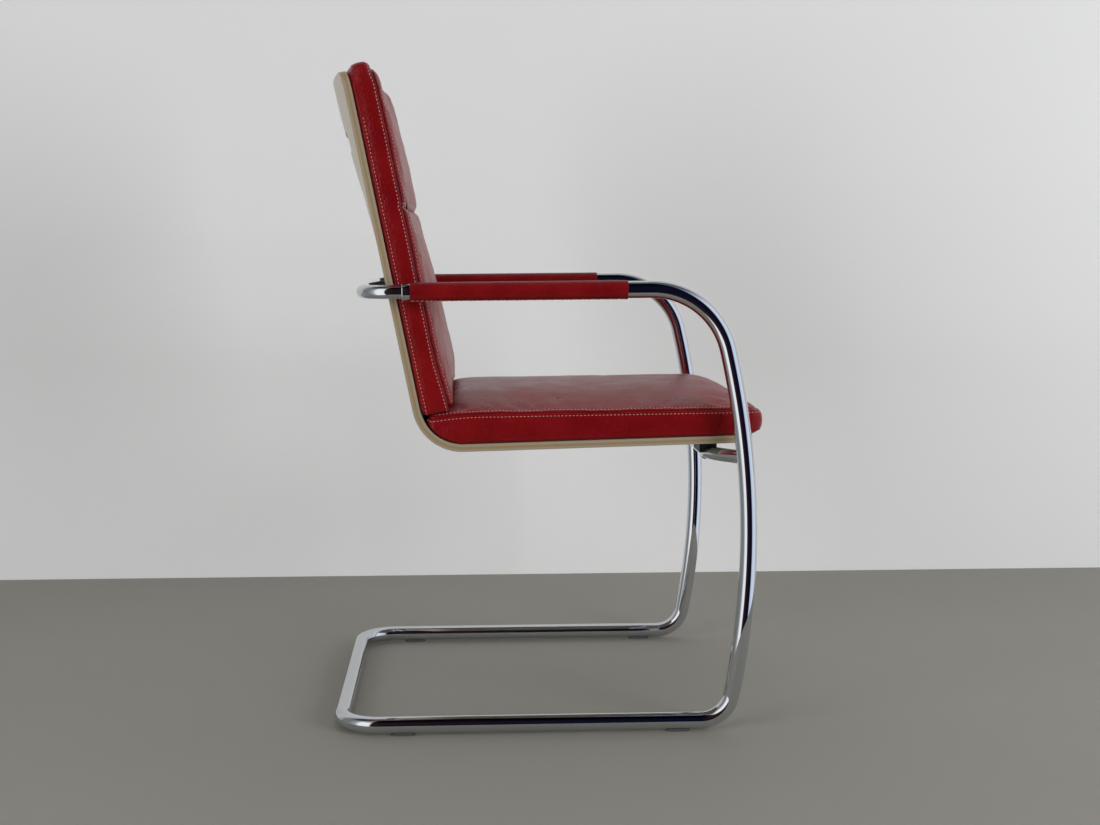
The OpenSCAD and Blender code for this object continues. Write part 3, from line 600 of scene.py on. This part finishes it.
def leather_material(name, dark, light, rough):
    """Pigmented cowhide. The pebble grain of about 1 mm is drawn near 2.6 mm wide so that it shows"""
    made, tree, shader = new_material(name, IOR=1.5, Specular_IOR_Level=0.28)
    where = add(tree, "TexCoord").outputs["Object"]
    drift, pore, patch, pull = (noise_of(tree, where, size, detail) for size, detail in (
        (9, 2.0), (0.9, 3.0), (55, 3.0), (110, 1.0)))
    bent = add(tree, "VectorMath", {0: drift.outputs["Color"], 1: (0.0022, 0.0022, 0.0022), 2: where},
               operation="MULTIPLY_ADD")
    pebble = add(tree, "TexVoronoi", {"Vector": bent, "Scale": 1000 / 2.6}, feature="SMOOTH_F1")
    crease = add(tree, "TexVoronoi", {"Vector": bent, "Scale": 1000 / 11}, feature="DISTANCE_TO_EDGE")
    crease = remap(tree, crease.outputs["Distance"], (0, 0.12), (-0.3, 0))
    slant = add(tree, "Mapping", {"Vector": bent, "Rotation": (math.radians(-52), 0, math.radians(20)),
                                  "Scale": (0.5, 1.0, 0.22)})
    drawn = remap(tree, pull, (0.48, 0.62), (0, 1.3))
    height = 1.0
    for source, factor in ((pebble.outputs["Distance"], -1.0), (crease, patch),
                           (noise_of(tree, slant, 5), drawn), (pore, 0.25)):
        height = calc(tree, "MULTIPLY_ADD", source, factor, height)
    tint = remap(tree, patch, (0.3, 0.7))
    # Painted shade: the low places of the pebble grain are darkened towards a deep red
    painted_valley_shade = remap(tree, height, (0.3, 0.75), (0.22, 0))
    # Painted shade: places along the seams, marked on each pad, darken towards near black
    painted_seam_shade = add(tree, "Attribute", attribute_name="painted_seam_shade").outputs["Fac"]
    body = dark
    for share, tone in ((tint, light), (painted_valley_shade, "#3E0509"), (painted_seam_shade, "#2E0306")):
        body = blend(tree, share, body, tone)
    gloss = remap(tree, tint, (0, 1), rough)
    relief = add(tree, "Bump", {"Height": height, "Strength": 0.8, "Distance": 0.0007})
    put(shader, {"Base Color": body, "Roughness": gloss, "Normal": relief})
    return made


pad_leather = leather_material("red_cowhide_pads", "#75090E", "#820C12", (0.26, 0.36))


def bell(t):
    """1 at zero, falling away on both sides"""
    return np.exp(-t ** 2)


def share_of(t):
    """A value held between 0 and 1"""
    return np.clip(t, 0, 1)


def seat_seam(a, x):
    t = (a - tip) / (nose_end - tip)
    rear = 1 - np.sin(np.radians(90 * share_of(a / rear_len)))
    return rise + seat_side - nose_fall * t - rear_fall * rear


def seat_top(a, x):
    front, rear = share_of((a - (nose_end - nose_roll)) / nose_roll), share_of(1 - a / rear_roll)
    width = share_of(np.abs(x) / (half_pad - 2))
    return seat_seam(a, x) + seat_crown * (1 - front ** 2) * (1 - rear ** 2) * (1 - width ** 3)


def seat_base(a, x):
    down = np.clip(bend_tangent - a, 0, bend_r - rise)
    return bend_r - np.sqrt((bend_r - rise) ** 2 - down ** 2)


# Levels of a pad's side: shares of its height below the seam, then places near the seam and past it
low_shares = [0, 0.07, 0.14, 0.3, 0.48, 0.66, 0.83]
below_seam = [9, 7, 5.6, 4.6, 3.7, 2.8, 1.9, 1.1, 0.5, 0]
past_seam = [0.5, 1.1, 1.8, 2.7, 3.8, 5.0, 6.4, 8.2, 11, 14.5, 19, 24]
ply_row, side_row, top_row, edge_r = 12, 20, 32, 7.0
seam_press, row_press, row_at, press_in = 1.7, 0.55, 5.2, 0.7
base_spacing, top_spacing = 14.0, 6.0
base_insets, round_turns = (60, 38, 24, 15, 10, 7), (0, 22.5, 45, 67.5)


def pad_shell(outline, start, end, width_at, base, seam, top, low_row, bulge, extra, soften):
    """Rings from the underside over the side and the seam to the top, then two filled panels.
    Returns flat places, faces, each ring's numbers, and how much painted seam shade and pucker each place
    gets"""
    count, middle, half_len = len(outline), (start + end) / 2, (end - start) / 2
    painted_seam_shades, puckers = [], []
    steps = np.linalg.norm(np.diff(np.concatenate([outline, outline[:1]]), axis=0), axis=1)
    run = np.cumsum(steps) - steps
    ruck = np.array([noise.noise(Vector((u / 6.0, 3.1, 0))) + 0.6 * noise.noise(Vector((u / 3.6, 9.4, 0)))
                     for u in run])

    def shrunk(inset):
        along = middle + (outline[:, 0] - middle) * (1 - inset / half_len)
        return np.column_stack([along, outline[:, 1] * (1 - inset / width_at(outline[:, 0]))])

    def press(s):
        """Depth drawn in by the seam, and by the stitch row beside it"""
        s = 1.1 * s
        return press_in * (seam_press * bell(s) + row_press * bell((s - row_at) / 1.4))

    def edge_drop(away, radius):
        """How far the rounded edge lies inside its corner, at a distance away from the corner"""
        return radius - np.sqrt(np.clip(radius ** 2 - np.clip(radius - away, 0, None) ** 2, 0, None))

    def note(painted_seam_shade, s):
        """How much painted shade the place gets in the seam, and how much it puckers"""
        painted_seam_shades.append(np.broadcast_to(painted_seam_shade, count))
        puckers.append(ruck * np.exp(-s / 11) * (1 - bell(s / 3)))

    rings = []
    for inset in base_insets:
        flat = shrunk(inset)
        rings.append(np.column_stack([flat, base(*flat.T) - min(1, 15 / inset) ** 2]))
        note(0, 99)
    low = base(*outline.T) - 1
    height = seam(*outline.T) - low
    round_r = np.minimum(3.5 + 0.5 * soften, height / 4)
    for turn in round_turns:
        flat = shrunk(round_r * (1 - turn_sin(turn)) + 0.5)
        rings.append(np.column_stack([flat, low + round_r * (1 - turn_cos(turn))]))
        note(0, 99)
    radius = np.minimum(edge_r + soften, height * 0.38 + soften / 2)
    cut = radius * (1 - turn_cos(45))
    span = height - round_r - cut
    near = np.minimum(1, span / 14)
    levels = [span - share * (span - below_seam[0] * near) for share in low_shares]
    levels += [depth * near for depth in below_seam]
    for s in levels:
        up = round_r + span - s
        row = 0.6 * bell((up - low_row) / 1.3) if low_row else 0
        inset = edge_drop(cut + s, radius) + press(s) + row
        inset = inset - bulge * (1 - abs(2 * up / height - 1) ** 2.4)
        rings.append(np.column_stack([shrunk(inset), low + up - press(s) * np.exp(-s / 4)]))
        note(0.8 * bell(s / 0.9), s)
    for s in past_seam:
        flat = shrunk(cut + s + press(s) * math.exp(-s / 4))
        rings.append(np.column_stack([flat, top(*flat.T) - edge_drop(cut + s, radius) - press(s)]))
        note(0.8 * bell(s / 0.9), s)
    flat = np.concatenate(rings)
    numbers = np.arange(len(flat)).reshape(-1, count)
    faces = [face for low, high in zip(numbers[:-1], numbers[1:]) for face in bridge(low, high)]
    for ring_no, surface, spacing, more in ((0, base, base_spacing, None), (-1, top, top_spacing, extra)):
        points, tris = fill([rings[ring_no][:, :2]], spacing, more)
        inner = points[count:]
        index = np.concatenate([numbers[ring_no], len(flat) + np.arange(len(inner))])
        flat = np.concatenate([flat, np.column_stack([inner, surface(*inner.T)])])
        faces += [tuple(index[tri]) for tri in tris]
    inside_count = len(flat) - numbers.size
    painted_seam_shades, puckers = (np.pad(np.concatenate(part), (0, inside_count)) for part in (painted_seam_shades, puckers))
    return flat, faces, list(numbers), painted_seam_shades, puckers


def billow(piece, held, share):
    """Short cloth simulation: the leather swells off its foam between the seams, which stay put.
    A share of the move is taken, and no part of the leather moves more than that share of the cap"""
    cap, pressure, frames = 5 * MM, 2.0, 20
    count = len(piece.data.vertices)
    start = np.empty(count * 3)
    piece.data.vertices.foreach_get("co", start)
    group = piece.vertex_groups.new(name="held")
    group.add([int(i) for i in held], 1.0, "REPLACE")
    cloth = piece.modifiers.new("cloth", "CLOTH")
    for name, value in {"quality": 5, "mass": 0.4, "tension_stiffness": 12, "compression_stiffness": 12,
                        "bending_stiffness": 0.6, "use_pressure": True, "uniform_pressure_force": pressure,
                        "vertex_group_mass": "held", "shrink_min": -0.012}.items():
        setattr(cloth.settings, name, value)
    cloth.settings.effector_weights.gravity = 0
    cloth.point_cache.frame_start, cloth.point_cache.frame_end = 1, frames
    for number in range(1, frames + 1):
        scene.frame_set(number)
    graph = bpy.context.evaluated_depsgraph_get()
    end = np.empty(count * 3)
    piece.evaluated_get(graph).data.vertices.foreach_get("co", end)
    move = (end - start).reshape(-1, 3)
    length = np.linalg.norm(move, axis=1)[:, None] + 1e-9
    move *= share * cap * np.tanh(length / cap) / length
    piece.modifiers.remove(cloth)
    piece.vertex_groups.remove(group)
    piece.data.vertices.foreach_set("co", start + move.ravel())
    piece.data.update()
    scene.frame_set(1)


def shift_out(piece, amount):
    """Moves each vertex along its normal by an amount in millimetres"""
    count = len(piece.data.vertices)
    place, normal = np.empty(count * 3), np.empty(count * 3)
    piece.data.vertices.foreach_get("co", place)
    piece.data.vertex_normals.foreach_get("vector", normal)
    piece.data.vertices.foreach_set("co", place + normal * np.repeat(amount, 3) * MM)
    piece.data.update()


def swell(flat, spans, sizes):
    """Smooth bumps from noise over flat places: a size in millimetres for each span"""
    result = np.zeros(len(flat))
    for number, (span, size) in enumerate(zip(spans, sizes)):
        result += [size * noise.noise(Vector((a / span, x / span, n / span + 7.3 * number)))
                   for a, x, n in flat]
    return result


stitching, stitch_in = new_tree("Stitch rows", [
    ("Rows", "Geometry", None), ("Pitch", "Float", 0.0056), ("Length", "Float", 0.0033),
    ("Thickness", "Float", 0.00115), ("Seed", "Int", 5), ("Thread", "Material", None)])
stitch = stitch_in.outputs
way = add(stitching, "GeometryNodeMeshToCurve", {"Mesh": stitch["Rows"]})
beads = add(stitching, "GeometryNodeCurveToPoints", {"Curve": way, "Length": stitch["Pitch"]},
            mode="LENGTH")
half_long, half_thick = (calc(stitching, "MULTIPLY", stitch[name], 0.5)
                         for name in ("Length", "Thickness"))
size = add(stitching, "CombineXYZ", {"X": half_thick, "Y": half_thick, "Z": half_long})
bead = add(stitching, "GeometryNodeMeshUVSphere", {"Segments": 8, "Rings": 6, "Radius": 1.0})
aim = add(stitching, "FunctionNodeAlignRotationToVector", {"Vector": beads.outputs["Tangent"]}, axis="Z")
sway = (0.05, 0.05, 0.0)
tilt = add(stitching, "FunctionNodeRandomValue", {0: [-turn for turn in sway], 1: sway,
                                                  "Seed": stitch["Seed"]}, data_type="FLOAT_VECTOR")
lean = add(stitching, "FunctionNodeEulerToRotation", {0: tilt})
aimed = add(stitching, "FunctionNodeRotateRotation", {0: aim, 1: lean}, rotation_space="LOCAL")
row = add(stitching, "GeometryNodeInstanceOnPoints", {"Points": beads.outputs["Points"], "Instance": bead,
                                                      "Rotation": aimed, "Scale": size})
end_tree(stitching, row, stitch["Thread"])

# Bonded polyester thread: pale pink-beige, a little glossy, two twisted strands.
thread = grained("polyester_thread", 0.8, tones=("#B5786D", "#DDB0A4"), Roughness=0.5, IOR=1.5)


def sew(name, piece, rows, lift=0.3, closed=True, **sizes):
    """Stitches along rows of a piece's own vertices, on its surface"""
    lines = []
    for row in rows:
        verts = [piece.data.vertices[int(i)] for i in row]
        lines.append([vert.co + vert.normal * lift * MM for vert in verts])
    stitches = grow(name, line_mesh(lines, closed), stitching, Thread=thread, **sizes)
    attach(stitches, "root")


seat_wide = lambda a: np.full(np.shape(a), half_pad)
outline, _ = spaced(rounded(tip, nose_end, seat_wide, 9.0, 24.0), 3.2)
along = outline[:, 0]
belly = 1.5 * share_of((along - 60) / 120) + 4 * share_of((along - nose_end + 24) / 20) ** 2
flat, faces, rings, painted_seam_shades, puckers = pad_shell(
    outline, tip, nose_end, seat_wide, seat_base, seat_seam, seat_top, 0, belly, None,
    3 * ease((along - nose_end + 30) / 30))
seat_pad = new_piece("leather_seat_pad", seat_place(*flat.T), faces, pad_leather)
mark(seat_pad, "painted_seam_shade", "FLOAT", "POINT", 0.5 * painted_seam_shades)
under = np.nonzero(flat[:, 2] < seat_base(*flat[:, :2].T) + 1)[0]
held = np.concatenate(rings[:ply_row] + rings[side_row - 2:top_row + 2] + [under])
billow(seat_pad, held, 0.5)
edge_far = share_of(np.minimum(half_pad - np.abs(flat[:, 1]), nose_end - flat[:, 0]) / 45)
lumps = swell(flat, (75, 30, 13), (1.6, 0.7, 0.35)) * (flat[:, 2] > rise + 8)
shift_out(seat_pad, lumps * (1 - 0.55 * edge_far) + 0.7 * puckers)
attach(seat_pad, "root")
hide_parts("seat_cushion")
sew("seat_pad_stitches", seat_pad, [rings[side_row], rings[top_row]], Seed=3)

# Back pad. The same hide and foam, in two panels divided by a cross seam a hand above the arms.
# The lower end arches over the seat pad, and the top end stands a little above the plywood.
pad_from, pad_to, cross_seam, back_side = 52.0, 569.5, 358.0, 37.0
back_low_row, cross_dip, upper_fill, lower_fill, back_lip = 6.6, 1.9, 20.0, 10.4, 6.3
low_rise, low_rise_len, arch = 6, 90, 24.3


def back_wide(a):
    return half_width(np.minimum(a, back_len)) - 2


def back_fill(a, x):
    """Depth that fills the shell's hollow: the upper panel is level from side to side"""
    away = np.abs(a - cross_seam)
    slope, slope_len, tuck, tuck_len, low_tuck_len = 9.6, 24, 2.6, 5, 7
    roll_from, roll_len, roll_share = 480, 60, 0.15
    upper = upper_fill - slope * np.exp(-away / slope_len) - tuck * np.exp(-away / tuck_len)
    upper = upper * (1 - roll_share * ease((a - roll_from) / roll_len))
    lower = (lower_fill - tuck * np.exp(-away / low_tuck_len)) * ease((a - pad_from) / 110 + 0.2)
    lower = lower + 2 * bell((a - 110) / 60) * ease((a - pad_from) / 30)
    return np.where(a < cross_seam, lower, upper) * (1 - share_of(np.abs(x) / (back_wide(a) - 2)) ** 2)


def low_lip(a):
    return low_rise * ease(1 - (a - pad_from) / low_rise_len)


def dip_at(a):
    return cross_dip * bell((a - cross_seam) / 5)


def back_seam(a, x):
    return rise + back_side + low_lip(a) - dip_at(a) + back_fill(a, x) * ease((a - pad_to + 34) / 30)


def back_base(a, x):
    return np.full(np.shape(a), rise)


def back_top(a, x):
    inner = back_wide(a) - 2
    away = (1 - share_of(np.abs(x) / inner)) * inner
    low_end, top_end = np.clip(a - pad_from, 0, None), np.clip(pad_to - a, 0, None)
    side_len, top_len = 8, 20
    lip = back_lip * (1 - np.exp(-low_end / side_len)) * (1 - np.exp(-top_end / top_len))
    lip = lip * (1 - np.exp(-away / side_len)) * (1 - 0.7 * bell((a - cross_seam) / 6))
    crease = 2.6 * bell((a - cross_seam) / 1.4) + 0.4 * bell((a - cross_seam - 5) / 1.4)
    return rise + back_side + low_lip(a) + back_fill(a, x) + lip - crease - dip_at(a) * np.exp(-away / 20)


def back_pad_place(a, x, n):
    """The lower end follows the crown of the seat pad"""
    near = np.clip(1 - (a - pad_from) / 60, 0, None) ** 1.5
    return back_place(a + arch * (1 - share_of(np.abs(x) / half_pad) ** 3) * near, x, n)


dense = lambda middle: np.where(np.abs(middle[:, 0] - cross_seam) < 10, 1.0, 3.2)
outline, _ = spaced(rounded(pad_from, pad_to, back_wide, 12.0, 24.0), dense)
offsets = np.array([-9, -6.5, -4.5, -3, -1.9, -0.9, 0, 0.9, 1.9, 3, 4.2, 5, 5.8, 7.5, 10])
extra = np.array([(cross_seam + off, x) for k, off in enumerate(offsets)
                  for x in np.arange(-230, 230, 4.0) + 2 * (k % 2)])
along = outline[:, 0]
belly = 2.4 + 3.6 * share_of((along - pad_to + 24) / 20) ** 2
flat, faces, rings, painted_seam_shades, puckers = pad_shell(
    outline, pad_from, pad_to, back_wide, back_base, back_seam, back_top, back_low_row, belly, extra,
    10 * ease((along - pad_to + 32) / 26))
back_pad = new_piece("leather_back_pad", back_pad_place(*flat.T), faces, pad_leather)
# Painted shade also along the crease of the cross seam on the back pad's top
mark(back_pad, "painted_seam_shade", "FLOAT", "POINT",
     np.maximum(painted_seam_shades, bell((flat[:, 0] - cross_seam) / 1.2) * (flat[:, 2] > rise + back_side - 2)))
near_cross = np.abs(flat[:, 0] - cross_seam) < 6.2
under = np.nonzero(near_cross | (flat[:, 2] < rise + 1))[0]
held = np.concatenate(rings[:ply_row + 1] + rings[side_row - 2:top_row + 2] + [under])
billow(back_pad, held, 0.4)
lumps = swell(flat, (70, 28, 12), (1.5, 0.8, 0.4)) * (flat[:, 2] > rise + 4)
shift_out(back_pad, lumps + (0.8 + 0.9 * share_of((flat[:, 0] - 430) / 60)) * puckers)
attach(back_pad, "root")
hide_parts("back_cushion")
sew("back_pad_stitches", back_pad, [rings[side_row], rings[top_row]], Seed=4)
behind = [i for i in rings[ply_row]
          if np.abs(flat[i, 1]) > back_wide(540) - 12 and flat[i, 0] < pad_to - 75]
ply_rows = [sorted((i for i in behind if flat[i, 1] * side > 0), key=lambda i: flat[i, 0])
            for side in (1, -1)]
sew("back_pad_rear_stitches", back_pad, ply_rows, closed=False, Seed=9)
cross_row = np.nonzero((np.abs(flat[:, 0] - cross_seam - 5) < 0.4) & (flat[:, 2] > rise + back_side - 1))[0]
sew("cross_seam_stitches", back_pad, [sorted(cross_row, key=lambda i: flat[i, 1])], 0.25, False, Seed=6)

# Arm sleeves. Red hide is wrapped round each arm and sewn by hand along the underside, over the
# length that the forearm touches. Its ends are turned in, and it lies tight on the tube.
sleeve_leather = leather_material("red_cowhide_sleeves", "#70060B", "#830A11", (0.3, 0.4))
sleeve_r, sleeve_from, sleeve_to = 13.6, arm_tip, arm_tip + 314.0
hide_gap, row_turn, row_lift = 0.05, 17, 0.3
ridge_h, ridge_at, ridge_w, groove_h, groove_w = 0.55, 7, 5, 0.5, 3.5
bump_h, bump_len, pull_h, pull_w, pull_len = 0.16, 17, 0.12, 40, 6.5
sleeve_end = np.array([(0.9, 0.85), (0.35, 0.8), (0.1, 0.55), (0.05, 0.3), (0.35, 0.1), (1.0, 0.02),
                       (2.0, 0.0)])


def about_arm(p, side, t, radius):
    """A point about the arm's axis over a place p, at an angle t in the plane of the height and width"""
    out = Vector((math.cos(t) * radius, 0, math.sin(t) * radius)) * MM
    return side_point(*arm_at(p), side * half_track) + out


for side, name in ((1, "left"), (-1, "right")):
    stations = np.concatenate([
        sleeve_from + sleeve_end[:, 0], np.arange(sleeve_from + 5, sleeve_to - 4, 3.0),
        sleeve_to - sleeve_end[::-1, 0]])
    plain = np.zeros(len(stations) - 2 * len(sleeve_end))
    drops = np.concatenate([sleeve_end[:, 1], plain, sleeve_end[::-1, 1]])
    count = 72
    turns = [2 * math.pi * j / count for j in range(count)]
    points = []
    for p, drop in zip(stations, drops):
        for t in turns:
            # The seam's two ridges and groove, the hide's own waves and the pull of the hand stitches
            off = math.degrees(math.atan2(math.cos(t), -math.sin(t)))
            seam = ridge_h * bell((abs(off) - ridge_at) / ridge_w) - groove_h * bell(off / groove_w)
            bump = bump_h * noise.noise(Vector((p / bump_len, math.cos(t) * 1.1, math.sin(t) * 1.1 + side)))
            pull = pull_h * bell(off / pull_w) * math.sin(p / pull_len * math.pi)
            relief = seam + bump + pull if drop < 0.5 else 0
            points.append(about_arm(p, side, t, sleeve_r - drop + relief))
    points += [about_arm(p, side, t, tube_r + hide_gap) for p in (stations[-1], stations[0]) for t in turns]
    numbers = np.arange(len(points)).reshape(-1, count)
    faces = [face for k in range(len(numbers)) for face in bridge(numbers[k - 1], numbers[k])]
    sleeve = new_piece("leather_sleeve_" + name, points, faces, sleeve_leather)
    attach(sleeve, "root")
    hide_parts("arm_sleeve_" + name)
    rows = [[about_arm(p, side, math.radians(-90 + away), sleeve_r + row_lift)
             for p in np.arange(sleeve_from + 4, sleeve_to - 3, 4.0)] for away in (-row_turn, row_turn)]
    hand = grow("sleeve_stitches_" + name, line_mesh(rows), stitching, Pitch=6.5 * MM, Length=4.6 * MM,
                Thickness=1.0 * MM, Thread=thread)
    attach(hand, "root")

# Screws. Four plain stainless dome heads hold the shell: two come up through the brace and two come
# forwards through the bow. Turning leaves them a little uneven in their gloss.
steel = grained("stainless_screw", 0.5, rough=(0.18, 0.34), Metallic=1.0, Base_Color="#B9BBBD")
dress(steel, "brace_screws", "bow_screws")

# Studio. A grey floor and a pale wall close behind the chair. Four soft lamps, above, on both sides of
# the camera and along the wall, light it evenly, and none of them shows in the chrome.
def stage_plane(name, points, code, see_through):
    """A plain backdrop. The wall is seen only from the chair's side, so other views look through it.
    The chrome mirrors the floor only within a metre of the chair, and the room beyond it"""
    made, tree, shader = new_material(name, Roughness=0.75, Base_Color=code)
    where = add(tree, "TexCoord").outputs["Object"]
    cloud = add(tree, "TexNoise", {"Vector": where, "Scale": 2.2, "Detail": 3.0})
    put(shader, {"Roughness": remap(tree, cloud, (0, 1), (0.6, 0.9))})
    clear = add(tree, "BsdfTransparent")
    if see_through:
        unseen = add(tree, "NewGeometry").outputs["Backfacing"]
    else:
        far = add(tree, "VectorMath", {0: where}, operation="LENGTH").outputs["Value"]
        glossy = add(tree, "LightPath").outputs["Is Glossy Ray"]
        unseen = calc(tree, "MULTIPLY", calc(tree, "GREATER_THAN", far, 1.0), glossy)
    mix = add(tree, "MixShader", {0: unseen, 1: shader, 2: clear})
    put(tree.nodes["Material Output"], {"Surface": mix})
    mesh = bpy.data.meshes.new(name)
    mesh.from_pydata(points, [], [(0, 1, 2, 3)])
    mesh.materials.append(made)
    plane = new_object(name, mesh)


half, wall_x, wall_foot, wall_top = 6, 0.83, -0.01, 4
stage_plane("floor", [(-half, -half, 0), (half, -half, 0), (half, half, 0), (-half, half, 0)],
            "#94928A", False)
stage_plane("wall", [(wall_x, -half, wall_foot), (wall_x, -half, wall_top), (wall_x, half, wall_top),
                     (wall_x, half, wall_foot)], "#F3F4F5", True)


def soft_lamp(name, place, target, width, height, power):
    """A rectangular lamp that the chrome doesn't show"""
    lamp = bpy.data.lights.new(name, "AREA")
    lamp.shape = "RECTANGLE"
    lamp.size, lamp.size_y, lamp.energy = width, height, power
    holder = new_object(name, lamp, place, Vector(target) - Vector(place))
    holder.visible_glossy = False


soft_lamp("lamp_above", (-0.5, -0.1, 3.0), (0.0, 0.0, 0.3), 1.2, 2.6, 6)
soft_lamp("lamp_rear_side", (-2.1, 2.3, 1.1), (0.0, 0.0, 0.6), 1.5, 1.7, 40)
soft_lamp("lamp_front_side", (-2.3, -2.3, 1.1), (0.0, 0.0, 0.6), 1.2, 1.7, 48)
soft_lamp("lamp_wall", (0.1, -2.7, 1.4), (wall_x, -0.5, 0.9), 0.8, 1.6, 9)

# What polished metal mirrors, by heading from the camera's side: a window behind to the left, a dark
# room behind the camera and a tall window on the right. The ceiling is dark.
room = [(-180, "#9A9A98"), (-120, "#85888B"), (-85, "#777A7C"), (-66, "#A4A8AC"), (-56, "#FFFFFF"),
        (-30, "#FFFFFF"), (-26, "#3A2226"), (-8, "#2A1A1E"), (6, "#0E1020"), (40, "#0B1026"),
        (47, "#C9D5EA"), (80, "#E6EBF6"), (115, "#B9C0C8"), (180, "#9A9A98")]
world = bpy.data.worlds.new("studio")
scene.world = world
world.use_nodes = True
tree = world.node_tree
tree.nodes.clear()
ray = add(tree, "LightPath")
toward = add(tree, "TexCoord")
split = add(tree, "SeparateXYZ", {"Vector": toward.outputs["Generated"]})
ahead, aside = (calc(tree, "MULTIPLY", split.outputs[axis], -1.0) for axis in "XY")
ramp = add(tree, "ValToRGB", {0: remap(tree, calc(tree, "ARCTAN2", aside, ahead), (-math.pi, math.pi))})
stops = ramp.color_ramp.elements
stops[0].color, stops[1].color = colour(room[0][1]), colour(room[-1][1])
for degrees, code in room[1:-1]:
    stops.new(degrees / 360 + 0.5).color = colour(code)
under = remap(tree, split.outputs["Z"], (0.6, 0.9), (1.15, 0.2), interpolation_type="SMOOTHSTEP")
lit = add(tree, "Background", {"Color": "#FFFFFF", "Strength": 0.22})
seen = add(tree, "Background", {"Color": "#DADBDC", "Strength": 1.0})
reflected = add(tree, "Background", {"Color": ramp, "Strength": under})
glossy = calc(tree, "MAXIMUM", ray.outputs["Is Glossy Ray"], ray.outputs["Is Transmission Ray"])
mix = add(tree, "MixShader", {0: glossy, 1: lit, 2: reflected})
mix = add(tree, "MixShader", {0: ray.outputs["Is Camera Ray"], 1: mix, 2: seen})
add(tree, "OutputWorld", {"Surface": mix})
